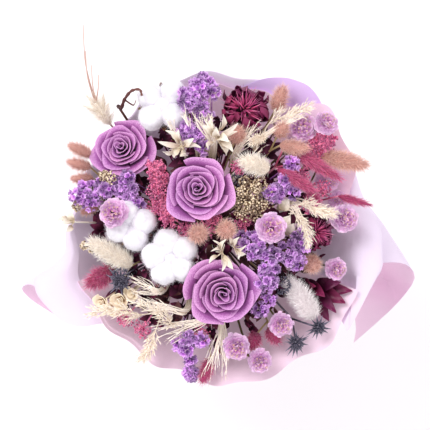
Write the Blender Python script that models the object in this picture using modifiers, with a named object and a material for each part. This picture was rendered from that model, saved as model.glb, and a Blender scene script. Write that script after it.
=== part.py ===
"""Dried flower bouquet, hand tied in a spiral and wrapped in paper, standing on its cut stems.

Metres, +Z up, origin on the table at the middle of the bouquet's box. The side that faces the
viewer of the bouquet is -Y. Every head keeps its own stem down to the table. All places are
reckoned from the tie, and each finished solid is then moved by BOX_MIDDLE.
"""
import math
import random

import bmesh
import bpy
from mathutils import Matrix, Vector

for old in list(bpy.data.objects):
    bpy.data.objects.remove(old)

MM = 0.001

# Driving dimensions of the whole bouquet. The middle of its box lies this far from the tie.
BOX_MIDDLE = Vector((12.88 * MM, 19 * MM, 0))
TIE_TOP = 126 * MM
TIE_BOTTOM = 108 * MM
STEM_RADIUS = 1.4 * MM
STEM_PITCH = 3.35 * MM
SPIRAL_TURN = math.radians(18)
FOOT_TURN = math.radians(80)
FOOT_SPREAD = 4.0

# Driving dimensions of the paper
PAPER = 0.8 * MM
LAYER_STEP = 1.7 * MM
LAYER_DROP = 1.3 * MM
WRAP_WAIST = 17 * MM
CUP_RADIUS = 125 * MM
CUP_HEIGHT = 245 * MM
CUP_POWER = 0.85
PLEATS = 16
COLUMN_STEP = 11.25
SKIRT_SLOPE = 0.52
SKIRT_PLEAT = 0.078
SHORT_HEM = 72 * MM
LONG_HEM = 50 * MM
CUP_PLEAT = 2.2 * MM
RIM_ROW = 3 * MM
ROLL_LEAN = math.radians(24)

bouquet = bpy.data.collections.new("dried_flower_bouquet")
bpy.context.scene.collection.children.link(bouquet)


def colour_of(name, red, green, blue, roughness=0.8):
    """A material with one colour, given as it looks on screen."""
    material = bpy.data.materials.new(name)
    material.use_nodes = True
    shader = material.node_tree.nodes["Principled BSDF"]
    linear = [(c / 255) ** 2.2 for c in (red, green, blue)]
    shader.inputs["Base Color"].default_value = (*linear, 1.0)
    shader.inputs["Roughness"].default_value = roughness
    shader.inputs["Metallic"].default_value = 0.0
    return material


ROSE = colour_of("rose_petal", 168, 92, 162, 0.7)
LEAF = colour_of("dried_leaf", 110, 105, 70)
COTTON_WHITE = colour_of("cotton_fibre", 234, 228, 232, 0.95)
HUSK = colour_of("dried_husk", 110, 72, 50)
DUSTY = colour_of("tail_dusty_pink", 190, 140, 135, 0.95)
CREAM = colour_of("tail_cream", 228, 214, 190, 0.95)
MAGENTA = colour_of("tail_magenta", 185, 70, 120, 0.9)
VIOLET = colour_of("statice_violet", 150, 100, 205)
LILAC = colour_of("everlasting_lilac", 210, 150, 210, 0.75)
WINE = colour_of("wine_petal", 100, 28, 58, 0.75)
CORAL = colour_of("pink_spray", 175, 50, 100)
GOLD = colour_of("seed_gold", 205, 180, 125, 0.6)
BLEACHED = colour_of("bleached_grass", 235, 225, 205, 0.85)
THISTLE = colour_of("thistle_blue", 72, 76, 96)
PAPER_LILAC = colour_of("wrap_lilac", 238, 222, 242, 0.55)
PAPER_PINK = colour_of("wrap_pink", 226, 190, 215, 0.6)
FILM = colour_of("wrap_film", 212, 194, 210, 0.35)
SATIN = colour_of("ribbon_satin", 216, 182, 236, 0.35)
TWINE = colour_of("binding_twine", 190, 165, 120, 0.9)


def loose(bm, shift=None):
    """A mesh object from edited geometry, placed by a matrix, not yet in any collection."""
    if shift is not None:
        bmesh.ops.transform(bm, matrix=shift, verts=bm.verts)
    mesh = bpy.data.meshes.new("piece")
    bm.to_mesh(mesh)
    bm.free()
    return bpy.data.objects.new("piece", mesh)


def baked(source):
    """The evaluated shape of an object as a plain closed mesh object; the source goes."""
    bpy.context.scene.collection.objects.link(source)
    graph = bpy.context.evaluated_depsgraph_get()
    mesh = bpy.data.meshes.new_from_object(source.evaluated_get(graph))
    place = source.matrix_world.copy()
    bpy.data.objects.remove(source)
    bm = bmesh.new()
    bm.from_mesh(mesh)
    bmesh.ops.remove_doubles(bm, verts=bm.verts, dist=0.00001)
    return loose(bm, place)


def frame(place, axis, turn=0.0):
    """The matrix that stands a piece at a place with its own Z along an axis."""
    lean = Vector(axis).normalized().to_track_quat("Z", "Y").to_matrix().to_4x4()
    return Matrix.Translation(place) @ lean @ Matrix.Rotation(turn, 4, "Z")


def tube(points, radii):
    """A four-sided stem along points, with a radius for each."""
    curve = bpy.data.curves.new("tube", "CURVE")
    curve.dimensions = "3D"
    curve.bevel_depth = 1.0
    curve.bevel_resolution = 0
    curve.use_fill_caps = True
    spline = curve.splines.new("POLY")
    spline.points.add(len(points) - 1)
    for point, place, radius in zip(spline.points, points, radii):
        point.co = (*place, 1.0)
        point.radius = radius
    return baked(bpy.data.objects.new("tube", curve))


def spike(start, tip, radius, blunt=0.0, sides=3):
    """A needle or short twig from its root to its tip."""
    start, tip = Vector(start), Vector(tip)
    way = tip - start
    bm = bmesh.new()
    bmesh.ops.create_cone(bm, cap_ends=True, segments=sides, radius1=radius, radius2=blunt,
                          depth=way.length)
    return loose(bm, frame((start + tip) / 2, way))


def ball(place, radius, detail=1, squash=(1, 1, 1), axis=(0, 0, 1)):
    """A faceted round body, such as a bead or the core of a head."""
    bm = bmesh.new()
    bmesh.ops.create_icosphere(bm, subdivisions=detail, radius=radius)
    bmesh.ops.scale(bm, vec=squash, verts=bm.verts)
    return loose(bm, frame(place, axis))


def blade(surface, across, along, thickness, shift):
    """A petal, leaf or sheet: a grid bent by surface(a, b), a from -1 to 1 and b from 0 to 1."""
    bm = bmesh.new()
    bmesh.ops.create_grid(bm, x_segments=across, y_segments=along, size=1.0)
    bmesh.ops.triangulate(bm, faces=bm.faces, quad_method="FIXED")
    for vert in bm.verts:
        vert.co = surface(vert.co.x, (vert.co.y + 1) / 2)
    piece = loose(bm)
    wall = piece.modifiers.new("wall", "SOLIDIFY")
    wall.thickness = thickness
    wall.offset = 0.0
    solid = baked(piece)
    solid.data.transform(shift)
    if shift.determinant() < 0:
        solid.data.flip_normals()
    return solid


# Ways to join pieces, tried in this order until one leaves a closed body: the solver, the
# distance under which corners merge and the way that faces are cut into triangles
FUSE_WAYS = (
    ("EXACT", 0.000002, "BEAUTY"),
    ("EXACT", 0.000002, "EAR_CLIP"),
    ("EXACT", 0.00002, "BEAUTY"),
    ("EXACT", 0.00008, "BEAUTY"),
    ("MANIFOLD", 0.000002, "BEAUTY"),
    ("MANIFOLD", 0.00002, "BEAUTY"),
    ("MANIFOLD", 0.00008, "BEAUTY"),
)


def fuse(name, pieces, material):
    """One closed body from pieces that run into each other, in the bouquet's collection."""
    body = pieces[0]
    body.name = name
    bouquet.objects.link(body)
    rest = bpy.data.collections.new("joined")
    bpy.context.scene.collection.children.link(rest)
    for piece in pieces[1:]:
        rest.objects.link(piece)
    for solver, merge, method in FUSE_WAYS:
        union = body.modifiers.new("union", "BOOLEAN")
        union.operation = "UNION"
        union.operand_type = "COLLECTION"
        union.collection = rest
        union.solver = solver
        union.show_viewport = len(pieces) > 1
        graph = bpy.context.evaluated_depsgraph_get()
        joined = bpy.data.meshes.new_from_object(body.evaluated_get(graph))
        body.modifiers.remove(union)
        if drop_scraps(joined, merge, method):
            break
    for piece in pieces[1:]:
        bpy.data.objects.remove(piece)
    bpy.data.collections.remove(rest)
    body.data = joined
    flatten_feet(joined)
    joined.transform(Matrix.Translation(-BOX_MIDDLE))
    joined.materials.clear()
    joined.materials.append(material)


def drop_scraps(mesh, merge, method):
    """Keeps the largest connected shell of a mesh, in triangles, and says whether it is closed."""
    bm = bmesh.new()
    bm.from_mesh(mesh)
    bmesh.ops.remove_doubles(bm, verts=bm.verts, dist=merge)
    straight = [vert for vert in bm.verts if len(vert.link_edges) == 2]
    bmesh.ops.dissolve_verts(bm, verts=straight)
    bmesh.ops.triangulate(bm, faces=bm.faces, ngon_method=method)
    left = set(bm.verts)
    shells = []
    while left:
        seed = left.pop()
        shell, front = {seed}, [seed]
        while front:
            vert = front.pop()
            for edge in vert.link_edges:
                other = edge.other_vert(vert)
                if other in left:
                    left.remove(other)
                    shell.add(other)
                    front.append(other)
        shells.append(shell)
    shells.sort(key=len, reverse=True)
    scraps = [vert for shell in shells[1:] for vert in shell]
    bmesh.ops.delete(bm, geom=scraps, context="VERTS")
    closed = all(len(edge.link_faces) == 2 for edge in bm.edges)
    bm.to_mesh(mesh)
    bm.free()
    return closed


def flatten_feet(mesh):
    """Cuts a stem's lower end level with the table."""
    for vert in mesh.vertices:
        if vert.co.z < 2 * MM:
            vert.co.z = 0.0


# Heads, each built at its own place with its own Z along the stem

def rose_bloom(place, axis, radius, turn):
    """Layered petals round a bud. The place is the top of the bud."""
    shift = frame(place, axis, turn)
    rings = ((5, 0.78, 0.20, 0.34, 40), (4, 0.54, 0.12, 0.16, 50), (3, 0.28, 0.07, 0.0, 64))
    core = ball(shift @ Vector((0, 0, -0.8 * radius)), 0.4 * radius, 1, (1, 1, 1.5), axis)
    pieces = [core]
    for number, (count, reach, curl, sink, half) in enumerate(rings):
        for k in range(count):
            turned = Matrix.Rotation(2 * math.pi * (k + 0.5 * number) / count, 4, "Z")
            foot = 0.24 - 0.04 * number
            half_angle = math.radians(half)

            def petal(a, b, reach=reach, curl=curl, sink=sink, foot=foot, half_angle=half_angle):
                swell = math.sin(b * math.pi / 2) ** 0.9
                out = foot + (reach - foot) * swell + curl * b ** 4 + 0.05 * a
                angle = half_angle * a * (0.55 + 0.45 * swell)
                height = -1.12 + (1.12 - sink) * b * (1 - 0.13 * a * a * b)
                spot = (out * math.cos(angle), out * math.sin(angle), height)
                return Vector(spot) * radius

            pieces.append(blade(petal, 2, 2, 1.2 * MM, shift @ turned))
    return pieces


def cotton_locks(place, axis, offset, lock, count, turn):
    """Puffs of fibre in a ring, run together in the middle. The place is the middle."""
    shift = frame(place, axis, turn)
    pieces = [ball(place, 0.9 * lock, 1, (1, 1, 0.8), axis)]
    for k in range(count):
        angle = 2 * math.pi * k / count
        spot = Vector((offset * math.cos(angle), offset * math.sin(angle), 0.15 * lock))
        pieces.append(ball(shift @ spot, lock, 2, (1, 1, 1.08), axis))
    return pieces


def cotton_husk(place, axis, offset, lock, count, turn):
    """The opened husk: pointed lobes under the puffs, turned up between them."""
    shift = frame(place, axis, turn)
    low = -0.8 * lock
    pieces = [spike(shift @ Vector((0, 0, -1.82 * lock)), shift @ Vector((0, 0, low)),
                    0.2 * lock, 0.4 * lock, 6)]
    for k in range(count):
        turned = Matrix.Rotation(2 * math.pi * (k + 0.5) / count, 4, "Z")
        reach = offset + 0.6 * lock
        lift = 0.75 if count < 5 else 0.3

        def lobe(a, b, reach=reach, lift=lift):
            out = 0.15 * lock + (reach - 0.15 * lock) * b
            rise = lift * lock * max(0.0, b - 0.55) / 0.45
            half = 0.38 * lock * math.sin(math.pi * (0.12 + 0.83 * b))
            return Vector((out, half * a, low - 0.17 * lock + rise * b))

        pieces.append(blade(lobe, 1, 3, 0.9 * MM, shift @ turned))
    return pieces


def fluffy_tail(base, tip, radius, sides=6, rings=6):
    """A soft seed head, its surface raised in tufts. It runs from its base to its tip."""
    base, tip = Vector(base), Vector(tip)
    way = tip - base
    bm = bmesh.new()
    bmesh.ops.create_uvsphere(bm, u_segments=sides, v_segments=rings, radius=1.0)
    for vert in bm.verts:
        ring = round(math.acos(max(-1.0, min(1.0, vert.co.z))) / math.pi * rings)
        side = round(math.atan2(vert.co.y, vert.co.x) / (2 * math.pi) * sides)
        tuft = 1.1 if (ring + side) % 2 else 0.86
        egg = 1.0 - 0.16 * vert.co.z
        vert.co.x *= radius * tuft * egg
        vert.co.y *= radius * tuft * egg
        vert.co.z *= way.length / 2
    return loose(bm, frame((base + tip) / 2, way))


def floret_clump(place, axis, radius):
    """A clump of twelve pointed florets, raised all round a slim core."""
    bm = bmesh.new()
    bmesh.ops.create_icosphere(bm, subdivisions=2, radius=radius)
    for vert in bm.verts:
        vert.co *= 1.12 if len(vert.link_edges) == 5 else 0.7
    return loose(bm, frame(place, axis))


def papery_head(place, axis, radius, turn, sides=8):
    """A round everlasting head: two tiers of crumpled petals round a button, as one ruffle."""
    profile = ((0.30, -0.42), (0.98, -0.05), (0.62, 0.10), (0.74, 0.42), (0.34, 0.34), (0.22, 0.55))
    bm = bmesh.new()
    bmesh.ops.create_uvsphere(bm, u_segments=sides, v_segments=len(profile) + 1, radius=1.0)
    for vert in bm.verts:
        ring = round(math.acos(max(-1.0, min(1.0, -vert.co.z))) / math.pi * (len(profile) + 1))
        if ring in (0, len(profile) + 1):
            vert.co = Vector((0, 0, -0.5 if ring == 0 else 0.5)) * radius
            continue
        out, height = profile[ring - 1]
        angle = math.atan2(vert.co.y, vert.co.x)
        side = round(angle / (2 * math.pi) * sides)
        if ring in (2, 4):
            out *= 1.0 if side % 2 else 0.8
            height += 0.12 if (side + ring // 2) % 2 else -0.06
        vert.co = Vector((out * math.cos(angle), out * math.sin(angle), height)) * radius
    return loose(bm, frame(place, axis, turn))


def thistle_head(place, axis, radius, bracts):
    """A burr with a ruff of stiff pointed bracts."""
    shift = frame(place, axis)
    bm = bmesh.new()
    bmesh.ops.create_icosphere(bm, subdivisions=2, radius=radius)
    for vert in bm.verts:
        vert.co *= 1.2 if len(vert.link_edges) == 5 else 0.92
    pieces = [loose(bm, shift)]
    for k in range(bracts):
        angle = 2 * math.pi * k / bracts
        root = Vector((0.3 * radius * math.cos(angle), 0.3 * radius * math.sin(angle), -0.4 * radius))
        tip = Vector((2.0 * radius * math.cos(angle), 2.0 * radius * math.sin(angle), 0.1 * radius))
        pieces.append(spike(shift @ root, shift @ tip, 0.24 * radius))
    return pieces


def curled_bloom(place, axis, radius, strips, seed):
    """A dark bloom of long petals that curl back over its heart. The place is its middle."""
    rng = random.Random(seed)
    shift = frame(place, axis)
    pieces = [ball(place, 0.34 * radius, 1, (1, 1, 0.8), axis)]
    for k in range(strips):
        turned = Matrix.Rotation(2 * math.pi * k / strips + rng.uniform(-0.1, 0.1), 4, "Z")
        inner = k % 2
        reach = radius * (0.72 if inner else 1.0) * rng.uniform(0.92, 1.0)
        half = radius * 0.21

        def strip(a, b, reach=reach, inner=inner, half=half):
            bend = b * math.radians(150 if inner else 125)
            out = 0.12 * radius + reach * 0.62 * math.sin(bend) + 0.12 * reach * b
            height = -0.1 * radius + reach * 0.5 * (1 - math.cos(bend))
            return Vector((out, half * a * (0.5 + 0.5 * math.sin(math.pi * b)), height))

        pieces.append(blade(strip, 1, 3, 1.0 * MM, shift @ turned))
    return pieces


def pointed_leaf(base, tip, half_width, sag=0.0, thickness=0.9 * MM):
    """A leaf with a waved edge from its base to its tip."""
    base, tip = Vector(base), Vector(tip)
    way = tip - base
    side = way.cross(Vector((0, 0, 1))).normalized()
    up = side.cross(way).normalized()

    def leaf(a, b):
        width = half_width * max(0.1, math.sin(math.pi * b ** 0.8) ** 0.8)
        fold = 0.3 * width * abs(a) + sag * math.sin(math.pi * b)
        return base + way * b + side * (a * width) + up * fold

    return blade(leaf, 2, 2, thickness, Matrix.Identity(4))


def panicle(points, reach, count, radius, seed, spread=0.45, first=0.3):
    """A grass head: a thin bent axis with branchlets on all sides, longest near its base."""
    rng = random.Random(seed)
    points = [Vector(point) for point in points]
    pieces = [tube(points, [radius * 1.4] * (len(points) - 1) + [radius * 0.8])]
    for k in range(count):
        along = first + (0.98 - first) * k / count
        cell = min(int(along * (len(points) - 1)), len(points) - 2)
        local = along * (len(points) - 1) - cell
        start = points[cell].lerp(points[cell + 1], local)
        way = (points[cell + 1] - points[cell]).normalized()
        side = way.orthogonal().normalized()
        side.rotate(Matrix.Rotation(2.4 * k + rng.uniform(-0.3, 0.3), 3, way))
        length = reach * (1.0 - 0.55 * along) * rng.uniform(0.8, 1.0)
        tip = start + (way * math.cos(spread) + side * math.sin(spread)) * length
        pieces.append(spike(start - way * radius, tip, radius))
    return pieces


# Where the heads stand. Places and sizes are in millimetres, heights over the table.

# Roses: the top of the bud, the radius and the turn about the stem
ROSES = {
    "rose_left": ((-75, 70, 268), 26, 0.3),
    "rose_centre": ((-8, 34, 304), 28, 1.0),
    "rose_front": ((14, -57, 299), 30, 0.6),
}
# Cotton: the middle of the boll, how far out its puffs stand, their radius, number and turn
COTTON = {
    "cotton_top": ((-38, 104, 270), 14, 11.5, 4, 0.52),
    "cotton_left": ((-64, 2, 268), 11, 11.5, 4, 0.35),
    "cotton_centre": ((-31, -25, 277), 13.5, 11.5, 5, 0.17),
}
# Soft seed heads: base, tip and radius of each
TAILS = {
    "tail_right": (DUSTY, (((98, 61, 264), (141, 52, 269), 7.5),)),
    "tail_top": (DUSTY, (((58, 100, 258), (66, 122, 268), 6.5),)),
    "tail_upper": (DUSTY, (((24, 76, 268), (27, 83, 294), 6.5),)),
    "tail_pair": (DUSTY, (((62, 70, 276), (88, 67, 285), 6), ((60, 79, 268), (67, 88, 286), 6))),
    "tail_middle": (DUSTY, (((-6, -6, 286), (-9, -4, 312), 7), ((14, 0, 286), (19, -3, 312), 7))),
    "tail_peach": (DUSTY, (((88, -28, 252), (91, -34, 276), 7),)),
    "tails_left": (DUSTY, (((-99, 62, 248), (-120, 72, 264), 5.5), ((-100, 52, 247), (-121, 57, 263), 5.5),
                           ((-98, 42, 244), (-118, 42, 260), 5), ((-94, 20, 242), (-108, 12, 255), 5))),
    "cream_upper": (CREAM, (((52, 49, 286), (26, 59, 298), 7.5),)),
    "cream_left": (CREAM, (((-64, -32, 256), (-104, -9, 262), 8),)),
    "white_right": (CREAM, (((92, -77, 258), (67, -41, 270), 8.5),)),
    "magenta_left": (MAGENTA, (((-80, -36, 242), (-104, -50, 250), 8),)),
    "magenta_front": (MAGENTA, (((3, -112, 252), (-5, -134, 262), 5.5),)),
    "magenta_right": (MAGENTA, (((43, -90, 250), (37, -104, 260), 6), ((52, -86, 252), (62, -99, 260), 6))),
}
# Feather spikes, longer and slimmer
SPIKES = {
    "spikes_upper": (((66, 50, 278), (90, 32, 284), 5), ((76, 62, 270), (112, 41, 275), 4.5)),
    "spike_right": (((112, 27, 258), (141, 19, 263), 4),),
}
# Statice: middle and radius of each clump of florets
STATICE = {
    "statice_top": (((-4, 121, 262), 9), ((-16, 110, 286), 7.5), ((-8, 102, 276), 8), ((-14, 82, 286), 8)),
    "statice_left": (((-84, 36, 264), 9), ((-100, 30, 260), 9), ((-68, 33, 270), 8)),
    "statice_right": (((38, -16, 296), 9), ((54, -28, 292), 10), ((70, -20, 284), 9),
                      ((50, -44, 286), 8), ((80, -8, 276), 7)),
    "statice_middle": (((68, 38, 268), 7), ((57, 29, 276), 6.5)),
    "statice_front": (((-15, -95, 268), 8), ((-14, -124, 258), 6)),
}
# Everlastings: middle and radius of each head
LILACS = {
    "lilac_left": (((-79, 13, 286), 12),),
    "lilac_centre": (((54, 0, 302), 12.5),),
    "lilac_top": (((101, 89, 276), 10), ((80, 85, 264), 13)),
    "lilac_right": (((117, 8, 268), 11.5),),
    "lilac_far_right": (((103, 41, 246), 8),),
    "lilac_low": (((110, -35, 258), 9),),
    "lilac_front": (((25, -101, 275), 11), ((45, -113, 270), 10)),
    "lilac_front_right": (((63, -82, 272), 10),),
}
# Dark curled blooms: middle, radius and number of petals
WINES = {
    "wine_cup": ((32, 101, 264), 23, 6),
    "wine_bloom": ((93, -4, 258), 16, 6),
}
# Dark leaves: the tip and half width of each
WINE_LEAVES = (((114, -46, 256), 6), ((118, -64, 256), 7), ((104, -80, 252), 6), ((92, -50, 262), 6))
# Forking sprays and grasses: each branch as the points along its middle, its reach and its twigs
SPRAYS = {
    "coral_left": (CORAL, (((-40, 40, 268), (-44, 52, 276)), 15, 5),
                   (((-38, 22, 268), (-32, 10, 278)), 15, 5)),
    "coral_right": (CORAL, (((92, 70, 258), (104, 76, 266)), 15, 7)),
    "grass_front": (BLEACHED, (((-56, -74, 258), (-76, -71, 262), (-98, -71, 264)), 17, 8),
                    (((-44, -88, 258), (-48, -100, 262), (-54, -110, 266)), 14, 5),
                    (((-30, -82, 268), (-38, -74, 276), (-60, -62, 278)), 14, 5)),
    "grass_upper": (BLEACHED, (((54, 90, 270), (68, 95, 277), (86, 102, 280)), 16, 6),
                    (((46, 76, 282), (40, 74, 294)), 11, 4)),
    "grass_right": (BLEACHED, (((80, 20, 278), (92, 16, 284), (106, 13, 284)), 14, 6),
                    (((72, 14, 282), (82, 2, 290), (86, -12, 290)), 12, 4)),
}
GOLD_SEEDS = ((35, 26, 290), 12, 7)
CURLED_TWIG = ((-76, 104, 250), (-76, 103, 266), (-72, 107, 278), (-65, 113, 286), (-58, 119, 288))
PAMPAS = ((-86, 92, 248), (-95, 106, 266))
THISTLES = {
    "thistles_right": (((76, -98, 264), 6), ((95, -85, 264), 5.5)),
    "thistles_left": (((-74, -46, 260), 6),),
}


def outward(place, lean=0.5):
    """The way a head faces: up, and away from the middle by its lean."""
    return Vector((place[0] * lean, place[1] * lean, 105)).normalized()


def crown_under(points, drop=24):
    """Where the stem of these heads begins: below their middle, on the way to the tie."""
    middle = sum((Vector(point) for point in points), Vector()) / len(points)
    way = Vector((0, 0, TIE_TOP / MM)) - middle
    return (middle + way.normalized() * drop) * MM


CROWNS = {}
for name, (top, radius, turn) in ROSES.items():
    CROWNS[name] = (Vector(top) - outward(top, 0.35) * (1.42 * radius + 5)) * MM
for name, (middle, offset, lock, count, turn) in COTTON.items():
    CROWNS[name] = (Vector(middle) - outward(middle, 0.25) * 1.7 * lock) * MM
for name, (material, heads) in TAILS.items():
    CROWNS[name] = crown_under([base for base, tip, radius in heads], 20)
for name, heads in SPIKES.items():
    CROWNS[name] = crown_under([base for base, tip, radius in heads], 20)
for name, heads in (STATICE | LILACS | THISTLES).items():
    CROWNS[name] = crown_under([middle for middle, radius in heads], 28)
for name, (middle, radius, count) in WINES.items():
    CROWNS[name] = crown_under([middle], 12)
CROWNS["wine_leaves"] = crown_under([tip for tip, half in WINE_LEAVES], 30)
for name, (material, *branches) in SPRAYS.items():
    CROWNS[name] = crown_under([branch[0][0] for branch in branches], 22)
CROWNS["gold_seeds"] = crown_under([GOLD_SEEDS[0]], 24)
CROWNS["curled_twig"] = Vector(CURLED_TWIG[0]) * MM
CROWNS["lilac_left"] = Vector((-90, 26, 244)) * MM
CROWNS["lilac_front"] = Vector((36, -110, 248)) * MM
CROWNS["magenta_right"] = Vector((52, -80, 234)) * MM
CROWNS["pampas"] = crown_under([PAMPAS[0]], 6)


def level_spot(crown, slot, rise):
    """Where a stem is at a height over the tie, on its straight way from its slot to its crown."""
    return slot + (crown.xy - slot) * (rise / (crown.z - TIE_TOP))


def bundle(crowns):
    """Each stem's slot where the bouquet is tied: in the order of the crowns, drawn together.

    Two stems that would cross on the way up to their crowns change slots.
    """
    names = list(crowns)
    turn = Matrix.Rotation(SPIRAL_TURN, 2)
    slots = [turn @ crowns[name].xy * 0.5 for name in names]
    for step in range(520):
        for i, slot in enumerate(slots):
            for other in slots[:i]:
                apart = slot - other
                short = STEM_PITCH - apart.length
                if short > 0:
                    push = apart.normalized() * short * 0.5
                    slot += push
                    other -= push
        for slot in slots:
            slot *= 0.99 if step < 440 else 1.0
    for sweep in range(12):
        for i in range(len(names)):
            for k in range(i):
                crown_way = turn @ (crowns[names[i]] - crowns[names[k]]).xy
                if crown_way.dot(slots[i] - slots[k]) < 0:
                    slots[i], slots[k] = slots[k], slots[i]
    for step in range(150):
        for i, name in enumerate(names):
            for k in range(i):
                for rise in (0, 22 * MM, 44 * MM, 66 * MM):
                    spot = level_spot(crowns[name], slots[i], rise)
                    apart = spot - level_spot(crowns[names[k]], slots[k], rise)
                    short = STEM_PITCH - apart.length
                    if short > 0:
                        push = apart.normalized() * short * 0.5
                        slots[i] += push
                        slots[k] -= push
    return dict(zip(names, slots))


SLOTS = bundle(CROWNS)
BUNDLE_RADIUS = max(slot.length for slot in SLOTS.values()) + STEM_RADIUS * 1.12


def stem(name, top=None, radius=STEM_RADIUS):
    """A stem from a head through its crown and its slot in the tie to its foot on the table."""
    slot = SLOTS[name]
    foot = Matrix.Rotation(FOOT_TURN, 2) @ slot * FOOT_SPREAD
    points = [CROWNS[name], (*slot, TIE_TOP), (*slot, TIE_BOTTOM), (*foot, 0.0)]
    if top is not None:
        points.insert(0, top + (top - CROWNS[name]).normalized() * 1.5 * MM)
    return tube([Vector(point) for point in points], [radius * 0.85] + [radius] * (len(points) - 1))


def undersides(heads):
    """Where the branches meet round heads that are given by middle and radius."""
    return [(Vector(middle) - outward(middle) * 0.4 * radius) * MM for middle, radius in heads]


def branches_to(name, ends, radius=STEM_RADIUS):
    """A stem that carries the first of its heads, and a twig from its crown to each other."""
    pieces = [stem(name, Vector(ends[0]), radius)]
    for end in ends[1:]:
        start, end = CROWNS[name], Vector(end)
        way = (end - start).normalized()
        pieces.append(spike(start - way * MM, end + way * MM, radius, 0.75 * radius))
    return pieces


# Roses: the bloom of petals sits on a calyx that belongs to the stem
for name, (top, radius, turn) in ROSES.items():
    axis = outward(top, 0.35)
    top, radius = Vector(top) * MM, radius * MM
    fuse(name + "_bloom", rose_bloom(top, axis, radius, turn), ROSE)
    seat = top - axis * (1.42 * radius + 0.3 * MM)
    pieces = [stem(name, radius=1.5 * MM), spike(CROWNS[name] - axis * MM, seat, 2.2 * MM, 6.5 * MM, 6)]
    shift = frame(seat, axis)
    for k in range(5):
        angle = 2 * math.pi * k / 5
        root = Vector((3.0 * math.cos(angle), 3.0 * math.sin(angle), -2.5)) * MM
        tip = Vector((15 * math.cos(angle), 15 * math.sin(angle), -3.0)) * MM
        pieces.append(spike(shift @ root, shift @ tip, 1.8 * MM))
    fuse(name + "_stem", pieces, LEAF)

# Cotton: puffs of fibre, each boll in its own opened husk
for name, (middle, offset, lock, count, turn) in COTTON.items():
    axis = outward(middle, 0.25)
    sizes = (Vector(middle) * MM, axis, offset * MM, lock * MM, count, turn)
    fuse(name + "_fibre", cotton_locks(*sizes), COTTON_WHITE)
    fuse(name + "_husk", [stem(name)] + cotton_husk(*sizes), HUSK)

# Bunny tails and other soft seed heads
for name, (material, heads) in TAILS.items():
    pieces = branches_to(name, [Vector(base) * MM for base, tip, radius in heads])
    for base, tip, radius in heads:
        sides = 8 if radius >= 8 else 6
        pieces.append(fluffy_tail(Vector(base) * MM, Vector(tip) * MM, radius * MM, sides))
    fuse(name, pieces, material)

for name, heads in SPIKES.items():
    pieces = branches_to(name, [Vector(base) * MM for base, tip, radius in heads])
    for base, tip, radius in heads:
        pieces.append(fluffy_tail(Vector(base) * MM, Vector(tip) * MM, radius * MM, 6, 8))
    fuse(name, pieces, MAGENTA)

# Statice, everlastings and thistles: heads on a forked stem
for name, heads in STATICE.items():
    pieces = branches_to(name, undersides(heads))
    for middle, radius in heads:
        pieces.append(floret_clump(Vector(middle) * MM, outward(middle), radius * MM))
    fuse(name, pieces, VIOLET)
for name, heads in LILACS.items():
    pieces = branches_to(name, undersides(heads))
    for middle, radius in heads:
        pieces.append(papery_head(Vector(middle) * MM, outward(middle, 0.4), radius * MM, radius))
    fuse(name, pieces, LILAC)
for name, heads in THISTLES.items():
    pieces = branches_to(name, undersides(heads))
    for middle, radius in heads:
        pieces += thistle_head(Vector(middle) * MM, outward(middle), radius * MM, 6)
    fuse(name, pieces, THISTLE)

# Wine-coloured blooms and leaves
for name, (middle, radius, count) in WINES.items():
    place = Vector(middle) * MM
    pieces = [stem(name, place, 1.5 * MM)]
    pieces += curled_bloom(place, outward(middle), radius * MM, count, count)
    fuse(name, pieces, WINE)
pieces = [stem("wine_leaves", radius=1.5 * MM)]
for tip, half in WINE_LEAVES:
    pieces.append(pointed_leaf(CROWNS["wine_leaves"], Vector(tip) * MM, half * MM, 2.5 * MM))
fuse("wine_leaves", pieces, WINE)

# A curled brown twig
arc = [Vector(point) * MM for point in CURLED_TWIG]
arc[0].z -= MM
fuse("curled_twig", [stem("curled_twig"), tube(arc, [1.5 * MM] * 4 + [1.0 * MM])], HUSK)

# Forking sprays and bleached grasses
for number, (name, (material, *branches)) in enumerate(SPRAYS.items()):
    pieces = [stem(name)]
    for k, (route, reach, count) in enumerate(branches):
        points = [CROWNS[name]] + [Vector(point) * MM for point in route]
        spread = 0.75 if material is CORAL else 0.42
        pieces += panicle(points, reach * MM, count, 0.8 * MM, 60 + 10 * number + k, spread)
    fuse(name, pieces, material)

# Gold seeds, each on a thread of its own
middle, reach, count = GOLD_SEEDS
crown = CROWNS["gold_seeds"]
pieces = [stem("gold_seeds"), ball(crown, 3.2 * MM)]
rng = random.Random(21)
for k in range(count):
    angle = 2.4 * k
    ring = reach * math.sqrt((k + 0.5) / count)
    bead = Vector(middle) + Vector((ring * math.cos(angle), ring * math.sin(angle), -0.04 * ring ** 2))
    pieces.append(spike(crown, bead * MM, 0.7 * MM, 0.7 * MM))
    pieces.append(ball(bead * MM, rng.uniform(2.3, 3.0) * MM))
fuse("gold_seeds", pieces, GOLD)

# Pampas tuft with long awns
crown, tip = (Vector(point) * MM for point in PAMPAS)
pieces = [stem("pampas", crown), fluffy_tail(crown, tip, 6 * MM)]
for k in range(7):
    spread = Vector((math.cos(2.4 * k), math.sin(2.4 * k), 0.4)) * 11 * MM
    pieces.append(spike(crown.lerp(tip, 0.5), tip + spread, 0.9 * MM))
pieces.append(spike(tip - Vector((0, 0, 3 * MM)), Vector((-105, 172, 282)) * MM, 1.0 * MM))
fuse("pampas", pieces, CREAM)


# The paper: every layer follows one cup, set apart by its step, with the same pleats

def cup_height(radius):
    """Height of the cup's wall at a distance from the middle. It flares past the cup's rim."""
    if radius > CUP_RADIUS:
        return CUP_HEIGHT + (radius - CUP_RADIUS) / 1.6
    share = (radius - WRAP_WAIST) / (CUP_RADIUS - WRAP_WAIST)
    return TIE_TOP + (CUP_HEIGHT - TIE_TOP) * share ** (1 / CUP_POWER)


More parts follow.
